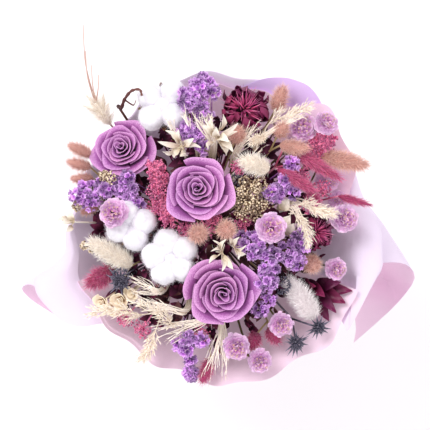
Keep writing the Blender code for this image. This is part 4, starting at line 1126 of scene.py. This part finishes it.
# Bleached leaves: whitened pointed leaves, in two fans at the top, in two small stars over the
# front rose and singly at the left edge, with some round pressed petals at the right.
BLEACHED = petal_finish("bleached_leaf", ((0, (186, 162, 136)), (0.5, (224, 210, 194)),
                                          (1, (240, 232, 222))),
                        roughness=0.7, spread=0.1, grain=600)
TIE_X, TIE_Y = 207, 228


def at_pixel(x, y, height):
    """The place that a point of the photograph shows, at a height in mm over the table."""
    return Vector(((x - TIE_X) * PIXEL, (TIE_Y - y) * PIXEL, height * MM))


# Each fan is the photo point of its heart, its height, half a leaf's width in mm, and its tips.
FANS = (
    ((182, 147), 286, 3.4, (
        (158, 142, 288), (166, 131, 290), (163, 152, 284), (174, 158, 286), (194, 139, 294),
        (201, 148, 292), (188, 156, 290), (179, 130, 296))),
    ((217, 139), 292, 3.5, (
        (237, 132, 294), (233, 152, 292), (223, 115, 300), (211, 119, 302), (202, 126, 298),
        (238, 124, 296), (226, 156, 292), (208, 150, 294), (229, 142, 302), (216, 128, 304))),
    ((222, 252), 300, 2.4, (
        (213, 240, 306), (226, 239, 306), (209, 263, 304), (233, 269, 304), (222, 271, 303),
        (211, 251, 306))),
    ((234, 247), 297, 2.4, (
        (246, 245, 303), (239, 237, 304), (229, 236, 303), (246, 254, 300), (238, 259, 300))),
    ((74, 222), 262, 3.2, (
        (59, 215, 266), (61, 226, 266), (66, 232, 264), (70, 211, 268), (56, 221, 264))),
)
PRESSED = (((291, 229), 276, 5.5), ((287, 221), 274, 5), ((296, 234), 270, 5), ((286, 204), 272, 5))
leaves, lines = [], []
for (x, y), height, half, tips in FANS:
    heart = at_pixel(x, y, height)
    under = crown_under([heart / MM], 60)
    lines.append(branch(under, heart, 0.9 * MM, bend=0.5))
    for number, tip in enumerate(tips):
        tip = at_pixel(*tip)
        start = heart.lerp(tip, 0.08 + 0.3 * ((number * 0.41) % 1)) - Vector((0, 0, 1.5 * MM))
        tip = tip + Vector((0, 0, 5 * MM * math.sin(1.7 * number)))
        wide = half * MM * (0.7 + 0.5 * ((number * 0.618) % 1))
        roll = 0.9 * math.sin(NEXT_TURN * number + x)
        leaves.append(leaf_surface(start, tip, wide, 3 * MM, x + number, roll))
        lines.append(([heart, start, start.lerp(tip, 0.5)], [0.6 * MM, 0.55 * MM, 0.35 * MM]))
for (x, y), height, size in PRESSED:
    start = at_pixel(x - 5, y + 6, height - 4)
    leaves.append(leaf_surface(start, at_pixel(x + 3, y - 5, height), size * MM, 1.5 * MM, x))
settle(sheet_mesh(leaves, 8, 18, 0.3 * MM), "bleached_leaves", "bleached_grass", BLEACHED)
bundle(lines, 5, BLEACHED, "bleached_leaf_stalks", "bleached_grass")

# Straw: thin bleached grass stalks, cut to length and put in by the sheaf, six to two dozen
# together. The last joints of each carry a few spikelets.
STRAW_SPIKELETS = 5
# Each sheaf is the photo point and height of its foot and of its top, the number of its stalks,
# and how far they fray.
SHEAVES = (
    ((222, 322), 262, (215, 377), 262, 24, 16), ((208, 318), 268, (158, 338), 268, 16, 12),
    ((186, 312), 266, (140, 304), 268, 14, 10), ((197, 142), 282, (184, 112), 296, 9, 5),
    ((208, 140), 284, (196, 116), 298, 12, 6), ((214, 142), 288, (206, 116), 302, 12, 6),
    ((178, 138), 280, (168, 119), 292, 6, 4), ((232, 180), 268, (262, 150), 280, 8, 8),
    ((262, 138), 272, (300, 112), 284, 16, 7), ((236, 152), 270, (256, 128), 284, 14, 7),
    ((160, 292), 262, (128, 282), 262, 18, 12), ((292, 205), 276, (310, 236), 284, 10, 6),
    ((296, 200), 272, (330, 214), 280, 10, 5),
)
rng = random.Random(44)
lines, spots = [], []
for (x0, y0), low, (x1, y1), high, count, fray in SHEAVES:
    for k in range(count):
        start = at_pixel(x0 + rng.uniform(-3, 3), y0 + rng.uniform(-3, 3), low - 4)
        end = at_pixel(x1 + rng.uniform(-fray, fray), y1 + rng.uniform(-fray, fray),
                       high + rng.uniform(-4, 4))
        end = start.lerp(end, rng.uniform(0.65, 1.0))
        bend = start.lerp(end, 0.55) + Vector((rng.uniform(-2, 2), rng.uniform(-2, 2), 3)) * MM
        line = curved([crown_under([start / MM], 30), start, bend, end], 4)
        lines.append((line, [0.5 * MM] * 6 + [0.36 * MM] * 4 + [0.26 * MM] * 3))
        way = (line[-1] - line[-4]).normalized()
        for place in line[:-1 - STRAW_SPIKELETS:-1]:
            side = any_way(rng)
            spots.append((place, (way + side * 0.22).normalized(), side, rng.uniform(3.5, 6) * MM))
scatter(spots, SPIKELET, GRASS, "straw_spikelets", "bleached_grass", uneven=0.2, spread=0.1)
bundle(lines, 4, GRASS, "straw_stalks", "bleached_grass")

# Cream rosettes: small roses curled from wood shavings, a sprig of four at the lower left. Each
# is glued on its own stalk.
SHAVING = petal_finish("cream_shaving", ((0, (176, 142, 112)), (0.6, (222, 196, 166)),
                                         (1, (246, 232, 210))), spread=0.1, grain=350)
ROSETTES = ((118, 302, 262, 9.5), (99, 304, 256, 8.5), (130, 295, 260, 7.5), (110, 312, 256, 6.5))
petals, lines = [], []
for x, y, height, size in ROSETTES:
    top = at_pixel(x, y, height)
    axis = outward(top / MM, 0.7)
    rng = random.Random(x)
    for k in range(0, ROSE_PETALS, 2):
        petals.append(rose_petal(standing(top, axis, x), size * MM, k, rng))
    heel = top - axis * size * MM
    under = crown_under([top / MM], 45)
    lines.append(branch(under, heel, 0.9 * MM))
settle(sheet_mesh(petals, 8, 6, 0.35 * MM), "cream_rosettes", "bleached_grass", SHAVING)
bundle(lines, 5, SHAVING, "cream_rosette_stalks", "bleached_grass")

# Small sprigs: bits of raspberry spray, violet statice, gold beads and grey burrs, left over from
# the larger stems and pushed in between the big heads on thin stalks.
PINK_STALKS = 0.5
# For each kind: shape, finish, slot, size of a floret in mm, florets on a sprig, how deep they
# stand in it, and where the sprigs are: photo point, height and reach.
SPRIGS = (
    ("pink", BUD, CORAL, "pink_spray", 1.9, 90, 0.55, (
        (158, 192, 276, 9), (171, 219, 274, 9), (186, 230, 272, 8), (206, 229, 276, 8),
        (214, 219, 284, 6), (143, 329, 256, 8), (125, 318, 252, 8), (326, 143, 270, 8),
        (313, 150, 264, 7), (318, 160, 262, 8), (300, 176, 268, 8), (322, 190, 260, 8),
        (310, 204, 264, 8), (150, 212, 266, 8), (160, 178, 270, 7), (243, 222, 270, 7),
        (238, 168, 278, 6), (200, 335, 258, 8))),
    ("violet", CUP, VIOLET, "statice_violet", 3.4, 20, 0.55, (
        (200, 88, 274, 7), (212, 92, 270, 6), (190, 104, 284, 6), (204, 116, 280, 7),
        (186, 130, 280, 6), (196, 138, 284, 6), (202, 148, 280, 5), (78, 196, 264, 7),
        (90, 203, 262, 7), (106, 190, 272, 6), (126, 183, 270, 6), (137, 204, 268, 6),
        (128, 178, 272, 5), (243, 240, 286, 8), (256, 236, 288, 7), (266, 284, 278, 6),
        (260, 310, 272, 6), (268, 300, 274, 6), (285, 181, 280, 5), (290, 164, 278, 5),
        (270, 192, 282, 5), (293, 191, 278, 6), (202, 340, 268, 5), (186, 350, 264, 5),
        (178, 345, 262, 4), (190, 360, 260, 4), (302, 245, 280, 7), (297, 262, 276, 6))),
    ("gold", BEAD, GOLD, "seed_gold", 2.0, 50, 0.55, (
        (110, 178, 274, 5), (104, 176, 270, 4), (77, 206, 262, 4), (93, 248, 256, 4),
        (84, 246, 254, 3), (240, 198, 282, 8), (258, 183, 280, 8), (247, 212, 280, 8),
        (266, 200, 276, 7))),
    ("burr", PRICKLE, THISTLE, "thistle_blue", 3.0, 90, 0.05, (
        (138, 244, 264, 5), (282, 285, 274, 6), (236, 182, 276, 5), (121, 277, 262, 6))),
)
for kind, shape, material, slot, size, count, depth, places in SPRIGS:
    rng = random.Random(kind)
    lines, spots = [], []
    for x, y, height, reach in places:
        heart = at_pixel(x, y, height)
        axis = outward(heart / MM)
        under = crown_under([heart / MM], 55)
        lines.append(branch(under, heart, 0.7 * MM))
        for place, out in ball_places(heart, axis, reach * MM, count, rng, -0.4, depth):
            if kind == "pink" and rng.random() < PINK_STALKS:
                lines.append(([heart, place], [0.25 * MM, 0.2 * MM]))
            spots.append((place, (out + axis * FLORET_LEAN).normalized(), UPWARDS,
                          size * rng.uniform(0.75, 1.2) * MM))
    scatter(spots, shape, material, kind + "_sprigs", slot, uneven=0.15, spread=0.4)
    bundle(lines, 5, material, kind + "_sprig_stalks", slot)

# Filling: short twigs with small dried leaves, pushed in between the stems under the heads, so
# that no gap shows down to the paper.
# Painted shade: both kinds of filling leaf are coloured dark, the wine ones near black, so that the gaps
# between the heads read as shade.
FILLING = petal_finish("dried_leaf", ((0, (48, 26, 34)), (0.5, (80, 44, 52)), (1, (124, 82, 84))),
                       roughness=0.7, spread=0.45, grain=500)
DARK = petal_finish("dark_filling", ((0, (36, 14, 26)), (0.5, (66, 22, 46)), (1, (112, 44, 78))),
                    roughness=0.7, spread=0.4, grain=500)
LEAF = blade_shape(((0, 0.05), (0.08, 0.35), (0.3, 0.9), (0.5, 1.0), (0.75, 0.7), (0.93, 0.25), (1, 0.04)),
                   0.24, 0.1, 4, 0.35)
FILL_TWIGS = 150
TWIG_LEAVES = 9
WRAP_WAIST = 17 * MM
WALL_SLOPE = 0.87
WALL_GAP = 8 * MM
rng = random.Random(12)


def dome(x, y):
    """The height of the mass of heads over a place in the bouquet, in mm."""
    return 292 - 0.0031 * ((x - 4) ** 2 + (y - 2) ** 2)


def filling_spots(count, low, high, reach):
    """Places under the heads, on branches from the stems, with leaves turned up and out."""
    for k in range(count):
        angle = GOLDEN_TURN * k
        ring = reach * math.sqrt((k + 0.5) / count)
        x = 4 + ring * math.cos(angle) + rng.uniform(-4, 4)
        y = 2 + ring * math.sin(angle) + rng.uniform(-4, 4)
        place = Vector((x, y, dome(x, y) - rng.uniform(low, high)))
        stray = Vector((rng.uniform(-1, 1), rng.uniform(-1, 1), rng.uniform(-0.3, 0.5)))
        yield place * MM, (outward(place, 0.8) + stray).normalized()


lines = {"dried": [], "dark": []}
leaf_spots = {"dried": [], "dark": []}
for number, (place, way) in enumerate(filling_spots(FILL_TWIGS, 26, 44, 98)):
    kind = "dried" if number % 3 == 0 else "dark"
    under = crown_under([place / MM], 70)
    twig = curved([under, under.lerp(place, 0.5), place, place + way * 6 * MM], 3)
    lines[kind].append((twig, [0.7 * MM] * len(twig)))
    # The paper leaves the waist of the wrap with this slope, and no leaf reaches through it.
    wall = WRAP_WAIST + WALL_SLOPE * (place.z - TIE_TOP)
    room = max(4 * MM, wall - math.hypot(place.x, place.y) - WALL_GAP)
    for k in range(TWIG_LEAVES):
        side = any_way(rng, 0.6)
        leaf_way = (way * 0.7 + side * 0.6).normalized()
        leaf_spots[kind].append((place + way * rng.uniform(-6, 6) * MM, leaf_way, UPWARDS,
                                 min(room, rng.uniform(9, 17) * MM)))
for kind, material in (("dried", FILLING), ("dark", DARK)):
    scatter(leaf_spots[kind], LEAF, material, kind + "_filling", "dried_leaf", uneven=0.2, spread=0.2)
    bundle(lines[kind], 4, material, kind + "_filling_twigs", "dried_leaf")

# Wrap: soft matt paper in four sheets, pleated round the tie. The outermost is pale lilac and
# reaches furthest down; its two ends are rolled out into open lapels.
PLEATS = 16
PAPER = 0.8 * MM
LAYER_STEP = 1.7 * MM
LAYER_DROP = 1.3 * MM
SHEET_HALF = 0.14 * MM
PLEAT_DEPTH = 2.2 * MM
HEM_ROWS, WAIST_ROWS, PLEAT_ROWS, CUP_ROWS, ROLL_ROWS = 10, 4, 7, 22, 26
COLUMN_DEGREES = 1.25
MOUTH_DEGREES = 46
CUP_REACH = 124.5 * MM
CUP_RADIUS = 125 * MM
CUP_HEIGHT = 245 * MM
CUP_CURVE = 0.85
RIM_FLARE = 1.6
HEM_FLARE = 0.52
HEM_PLEATS = 0.078
SHORT_HEM, LONG_HEM = 72 * MM, 50 * MM
RIM_ROW = 3 * MM
ROLL_LEAN = math.radians(24)
RIGHT_MOUTH = ((0, 0), (0.25, 9), (0.5, 23), (0.75, 19), (1, -4))
LEFT_MOUTH = ((0, 0), (0.25, -12), (0.5, -26), (0.75, -25), (1, -13))
RIGHT_SHARE = ((-34, 1), (20, 0))
LEFT_SHARE = ((185, 0), (225, 1))


def paper_finish(name, outside, inside, painted_glow, roughness=0.62, alpha=1.0):
    """Wrapping paper with fine fibres and soft creases. Its two faces have their own colour, and it glows
    faintly in it, painted light.
    """
    material, graph, shader = new_finish(name, roughness)
    place = graph.node("ShaderNodeTexCoord", out="Object")
    fibres = graph.node("ShaderNodeTexNoise", {
        "Vector": place, "Scale": 1400.0, "Detail": 4.0, "Roughness": 0.7})
    clouds = graph.node("ShaderNodeTexNoise", {"Vector": place, "Scale": 22.0, "Detail": 3.0})
    creases = graph.node("ShaderNodeTexNoise", {
        "Vector": place, "Scale": 38.0, "Detail": 5.0, "Distortion": 1.2})
    back = graph.node("ShaderNodeAttribute", out="Fac", attribute_name="back")
    shade = 0.5 + (fibres - 0.5) * 0.5 + (clouds - 0.5) * 0.7
    faces = [graph.node("ShaderNodeValToRGB", {"Fac": shade}, stops=tuple(
        (share, screen(*(min(255, part * tone) for part in colour)))
        for share, tone in ((0.2, 0.95), (0.8, 1.03)))) for colour in (outside, inside)]
    mixed = graph.node("ShaderNodeMix", {"Factor": back, 6: faces[0], 7: faces[1]}, out=2,
                       data_type="RGBA")
    graph.feed(shader.inputs["Base Color"], mixed)
    # Painted light: the paper glows a little in its own colour, standing in for the light that comes
    # through thin paper and lifts its shaded insides.
    graph.feed(shader.inputs["Emission Color"], mixed)
    shader.inputs["Emission Strength"].default_value = painted_glow
    graph.feed(shader.inputs["Normal"], graph.node("ShaderNodeBump", {
        "Strength": 0.35, "Distance": 0.0012, "Height": creases + fibres * 0.12}))
    shader.inputs["Alpha"].default_value = alpha
    shader.inputs["Specular IOR Level"].default_value = 0.35
    return material


def cup_height(radius):
    """Height of the cup's wall at a distance from the middle. It flares past the cup's rim."""
    if radius > CUP_RADIUS:
        return CUP_HEIGHT + (radius - CUP_RADIUS) / RIM_FLARE
    share = max(0.0, (radius - WRAP_WAIST) / (CUP_RADIUS - WRAP_WAIST))
    return TIE_TOP + (CUP_HEIGHT - TIE_TOP) * share ** (1 / CUP_CURVE)


def between(keys, spot):
    """A value at a spot, on a smooth curve through the values that are given."""
    places = [key[0] for key in keys]
    spot = max(places[0], min(places[-1], spot))
    cell = min(sum(place < spot for place in places[1:]), len(keys) - 2)
    (low, first), (high, second) = keys[cell], keys[cell + 1]
    before, after = keys[max(cell - 1, 0)], keys[min(cell + 2, len(keys) - 1)]
    rise_in = (second - before[1]) / (high - before[0]) * (high - low)
    rise_out = (after[1] - first) / (after[0] - low) * (high - low)
    t = (spot - low) / (high - low)
    bend = first * (2 * t ** 3 - 3 * t * t + 1) + second * (3 * t * t - 2 * t ** 3)
    return bend + rise_in * (t ** 3 - 2 * t * t + t) + rise_out * (t ** 3 - t * t)


# Where the free end of the sheet runs round each open roll: points of the photograph.
MOUTHS = {
    "right": ((342, 319), (349, 332), (352, 307), (359, 284), (374, 267), (395, 263), (412, 267),
              (419, 281), (405, 302), (382, 323), (356, 345)),
    "left": ((106, 323), (80, 328), (58, 321), (49, 308), (40, 296), (31, 287), (23, 286), (18, 291),
             (26, 301), (40, 311), (57, 322)),
}


def sheet_rows(hem):
    """The rows below the edge: reach from the middle, height, and depth of the pleats."""
    rows = []
    for k in range(HEM_ROWS):
        height = hem + (TIE_BOTTOM - hem) * k / HEM_ROWS
        drop = TIE_BOTTOM - height
        rows.append((WRAP_WAIST + HEM_FLARE * drop, height, HEM_PLEATS * drop))
    for k in range(WAIST_ROWS):
        rows.append((WRAP_WAIST, TIE_BOTTOM + (TIE_TOP - TIE_BOTTOM) * k / WAIST_ROWS, 0.0))
    for k in range(CUP_ROWS + 1):
        # A row of the cup has the height that its wall has there.
        rows.append((WRAP_WAIST + (CUP_REACH - WRAP_WAIST) * k / CUP_ROWS, None,
                     PLEAT_DEPTH * min(1.0, k / PLEAT_ROWS)))
    return rows


def cup_point(row, degrees, rim, layer):
    """Reach and height of a place on a sheet's hem, waist or cup."""
    radius, height, depth = row
    if height is None:
        radius = min(radius, between(rim, degrees) * MM - RIM_ROW)
        height = cup_height(radius)
    height -= layer * LAYER_DROP * max(0.0, (radius - WRAP_WAIST) / CUP_RADIUS)
    return radius + (layer * LAYER_STEP + depth * math.cos(PLEATS * math.radians(degrees))), height


def edge_point(degrees, rim, layer, short, size=0.0, turn=0.0):
    """Reach and height of a place at the edge, short of the rim or on the roll out of it."""
    edge = between(rim, degrees) * MM - short
    pleat = PLEAT_DEPTH * math.cos(PLEATS * math.radians(degrees))
    radius = edge + layer * LAYER_STEP + pleat
    radius += size * (math.sin(ROLL_LEAN) + math.sin(turn - ROLL_LEAN))
    height = cup_height(edge) - layer * LAYER_DROP
    return radius, height + size * (math.cos(turn - ROLL_LEAN) - math.cos(ROLL_LEAN))


def pull_to_mouths(points, wide, first_row, rolled):
    """Draws the two free ends of the rolled sheet over to their outline in the photograph."""
    for side, edge_column in (("right", 0), ("left", wide - 1)):
        mouth = curved([at_pixel(*place, 0) for place in MOUTHS[side]], 8)
        for row in range(first_row - 4, first_row + rolled):
            share = max(0.0, (row - first_row + 1) / rolled)
            spot = share * (len(mouth) - 1)
            low = min(int(spot), len(mouth) - 2)
            shift = mouth[low].lerp(mouth[low + 1], spot - low) - points[row * wide + edge_column]
            shift = Vector((shift.x, shift.y, 0)) * min(1.0, (row - first_row + 5) / 5)
            for column in range(wide):
                away = abs(column - edge_column) * COLUMN_DEGREES / MOUTH_DEGREES
                if away < 1:
                    points[row * wide + column] += shift * (1 - away * away * (3 - 2 * away)) ** 1.5


def paper_shell(points, wide):
    """A sheet with both its faces, half its thickness to each side, closed round its edge."""
    count, tall = len(points), len(points) // wide
    faces = []
    for corner in range(count - wide):
        if corner % wide < wide - 1:
            faces.append((corner, corner + 1, corner + wide + 1))
            faces.append((corner, corner + wide + 1, corner + wide))
    source = mesh_of(points, faces)
    normals = [vertex.normal.copy() for vertex in source.data.vertices]
    bpy.data.objects.remove(source)
    both = [place + side * SHEET_HALF for place, side in zip(points, normals)]
    both += [place - side * SHEET_HALF for place, side in zip(points, normals)]
    shell = faces + [tuple(corner + count for corner in face[::-1]) for face in faces]
    rim_walk = list(range(wide)) + [wide * k + wide - 1 for k in range(1, tall)]
    rim_walk += [count - 1 - k for k in range(1, wide)]
    rim_walk += [count - wide * k for k in range(2, tall)]
    for first, second in zip(rim_walk, rim_walk[1:] + rim_walk[:1]):
        shell.append((second, first, first + count, second + count))
    return mesh_of(both, shell, back=[0.0] * count + [1.0] * count)


def wrap_sheet(name, slot, material, node, start, end, hem, layer, rim, roll=None, roll_turn=None,
               seed=0.0):
    """One sheet round the bouquet between two angles, from its hem to its rim or its rolled edge."""
    rows = sheet_rows(hem)
    rolled = ROLL_ROWS if roll else 2
    columns = round((end - start) / COLUMN_DEGREES)
    points = []
    for row in range(len(rows) + rolled):
        share = (row - len(rows) + 1) / rolled
        for column in range(columns + 1):
            degrees = start + (end - start) * column / columns
            ripple = noise.noise(Vector((degrees * 0.035, seed, row * 0.03))) * 0.7 * MM
            if row < len(rows):
                radius, height = cup_point(rows[row], degrees, rim, layer)
            elif roll:
                turn = math.radians(between(roll_turn, degrees)) * share
                degrees += (between(RIGHT_MOUTH, share) * between(RIGHT_SHARE, degrees)
                            + between(LEFT_MOUTH, share) * between(LEFT_SHARE, degrees))
                size = between(roll, degrees) * MM
                radius, height = edge_point(degrees, rim, layer, 0.0, size, turn)
            else:
                radius, height = edge_point(degrees, rim, layer, RIM_ROW * (1 - share))
            angle = math.radians(degrees)
            radius += ripple * min(1.0, max(0.0, (radius - WRAP_WAIST) / (30 * MM)))
            points.append(Vector((radius * math.cos(angle), radius * math.sin(angle), height)))
    if roll:
        pull_to_mouths(points, columns + 1, len(rows), rolled)
    settle(paper_shell(points, columns + 1), name, slot, material, node)


# After its two colours, each paper has its painted glow. It is strongest in the film and the pink front
# sheet, whose insides lie in shade.
LILAC_PAPER = paper_finish("wrap_lilac", (236, 210, 228), (227, 211, 232), 0.07)
PINK_PAPER = paper_finish("wrap_pink", (238, 208, 226), (238, 210, 228), 0.16)
FILM = paper_finish("wrap_film", (240, 208, 228), (242, 214, 232), 0.2, 0.4, 0.8)
# The corner sheet's deeper, more violet lilac is partly the coloured face of the paper and partly painted
# shade.
LAVENDER = paper_finish("ribbon_satin", (222, 194, 242), (220, 190, 240), 0.1, 0.38)
# Each rim is the sheet's reach from the tie in mm, at angles in degrees. The outer sheet also has
# the size of its rolls in mm, and how far they turn in degrees.
FILM_RIM = ((0, 123), (12, 126), (23, 136), (35, 141), (46, 144), (56, 128), (112.5, 122))
FRONT_RIM = ((-157.5, 116), (-137, 118), (-117, 120), (-108, 124), (-96, 125), (-84, 134), (-53, 136),
             (-42, 141), (-22.5, 136))
CORNER_RIM = ((45, 138), (54, 149), (60, 146), (66, 137), (79, 120))
OUTER_RIM = ((-34, 139), (-22, 128), (-8, 123), (8, 123), (20, 127), (75, 129), (98, 127), (112, 122),
             (126, 113), (150, 109), (184, 112), (198, 116), (225, 119))
ROLL_SIZE = ((-38, 22), (-25, 30), (-15, 45), (-11, 40), (0, 21), (9, 10), (22, 3), (178, 3), (190, 8),
             (195, 18), (198, 33), (225, 36))
ROLL_TURN = ((-38, 170), (-15, 235), (4, 200), (22, 60), (178, 60), (190, 200), (200, 220), (225, 170))
wrap_sheet("film_sheet", "wrap_film", FILM, "wrap_film", 0, 112.5, SHORT_HEM, 0, FILM_RIM, seed=1.0)
wrap_sheet("front_sheet", "wrap_pink", PINK_PAPER, "wrap_front", -157.5, -22.5, SHORT_HEM, 1,
           FRONT_RIM, seed=2.0)
wrap_sheet("corner_sheet", "ribbon_satin", LAVENDER, "wrap_corner", 45, 78.75, SHORT_HEM, 1,
           CORNER_RIM, seed=3.0)
wrap_sheet("outer_sheet", "wrap_lilac", LILAC_PAPER, "wrap_outer", -33.75, 225, LONG_HEM, 2,
           OUTER_RIM, ROLL_SIZE, ROLL_TURN, seed=4.0)

# Twine: one jute cord of three plies, wound nine times round the stems where they cross and
# drawn tight, before the paper goes round them.
BUNDLE_RADIUS = 15.2 * MM
CORD_RADIUS = 0.65 * MM
CORD_START, CORD_RISE = 110.7 * MM, 10.6 * MM
PLIES = 3
PLY_RADIUS = 0.34 * MM
TWINE = petal_finish("binding_twine", ((0, (150, 122, 84)), (0.5, (176, 148, 106)), (1, (196, 170, 128))),
                     grain=1500)
turns, steps = 9, 48
wound = []
for k in range(turns * steps + 1):
    angle = 2 * math.pi * k / steps
    ring = Vector((math.cos(angle), math.sin(angle), 0)) * (BUNDLE_RADIUS + CORD_RADIUS)
    wound.append(ring + Vector((0, 0, CORD_START + CORD_RISE * k / (turns * steps))))
plies = []
for ply in range(PLIES):
    line = []
    for k, place in enumerate(wound):
        phase = 1.1 * k + THIRD_TURN * ply
        side = Vector((place.x, place.y, 0)).normalized()
        twist = Vector((0, 0, 0.28 * MM * math.sin(phase)))
        line.append(place + side * 0.22 * MM * math.cos(phase) + twist)
    plies.append((line, [PLY_RADIUS] * len(line)))
bundle(plies, 5, TWINE, "twine_turns", "binding_twine", "binding_twine")

# Ribbon: a flat strap of woven satin, put once round the paper's waist. It is tied in front, in a
# bow of two loops with two tails that are cut at a slant.
SATIN, graph, shader = new_finish("satin_strap", 0.34)
place = graph.node("ShaderNodeTexCoord", out="Object")
threads = graph.node("ShaderNodeTexWave", {
    "Vector": place, "Scale": 900.0, "Distortion": 1.5, "Detail": 2.0},
    wave_type="BANDS", bands_direction="Z")
soft = graph.node("ShaderNodeTexNoise", {"Vector": place, "Scale": 40.0, "Detail": 2.0})
graph.feed(shader.inputs["Base Color"], graph.node(
    "ShaderNodeValToRGB", {"Fac": threads * 0.4 + soft * 0.6},
    stops=((0.2, screen(200, 160, 224)), (0.8, screen(228, 196, 246)))))
graph.feed(shader.inputs["Normal"], graph.node(
    "ShaderNodeBump", {"Strength": 0.2, "Distance": 0.0002, "Height": threads}))
shader.inputs["Sheen Weight"].default_value = 0.3
inner = WRAP_WAIST + 2 * LAYER_STEP + PAPER / 2 + 0.9 * MM
front = -(inner + 0.6 * MM)
BAND_LEVEL, BAND_HALF = 116.75, 6.9
LOOP_REACH = 33
TAIL_SPREAD, TAIL_LEAN, TAIL_DROP = 19, 40, 62
STRAP = 0.4 * MM


def strap_band(a, b):
    """The strap once round the waist, with a soft crease along it."""
    angle = 2 * math.pi * b - math.pi / 2
    radius = inner + 0.25 * MM * math.cos(3 * a) * math.cos(9 * angle)
    return Vector((radius * math.cos(angle), radius * math.sin(angle), (BAND_LEVEL + BAND_HALF * a) * MM))


def strap_loop(side):
    """One loop of the bow, narrow at the knot and full at its end."""
    def surface(a, b):
        swing = 2 * math.pi * b
        x = side * (3.4 + LOOP_REACH * math.sin(swing / 2) ** 1.2) * MM
        z = (115.5 + 3 * b + 9 * math.sin(swing)) * MM
        wide = (2.6 + 4.2 * math.sin(swing / 2)) * a
        y = front - (3.4 + wide + 2 + 0.10 * abs(x) / MM) * MM
        return Vector((x, y, z + 0.5 * MM * math.cos(4 * a)))
    return surface


def strap_tail(side):
    """One loose end of the bow, with a slanting cut."""
    def surface(a, b):
        reach = b * (1 - 0.1 * (a + 1) / 2)
        x = side * (3.2 + TAIL_SPREAD * reach) * MM + (2.6 + 4 * reach) * a * MM
        y = front - (2 + TAIL_LEAN * reach + 1.2 * math.sin(6 * reach)) * MM
        z = (115 - TAIL_DROP * reach - 5 * side * reach + 1.5 * math.sin(5 * reach + side)) * MM
        return Vector((x, y, z))
    return surface


def strap_knot(a, b):
    """The knot: a short turn of the strap drawn tight over the crossing."""
    angle = 2 * math.pi * b
    bulge = 5.2 - 0.8 * a * a
    fold = 1 + 0.06 * math.cos(5 * a * math.pi)
    return Vector((4.6 * a * MM, front + (-3.2 + 0.8 * bulge * math.cos(angle) * fold) * MM,
                   (117 + 1.15 * bulge * math.sin(angle) * fold) * MM))


settle(sheet_mesh([strap_band], 8, 96, STRAP), "ribbon_band", "ribbon_satin", SATIN, "ribbon")
bow = [strap_loop(-1), strap_loop(1), strap_tail(-1), strap_tail(1), strap_knot]
settle(sheet_mesh(bow, 10, 48, STRAP), "ribbon_bow", "ribbon_satin", SATIN, "ribbon")

size = {"cad": [list(corner) for corner in cad_box], "visual": [list(corner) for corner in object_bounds()]}
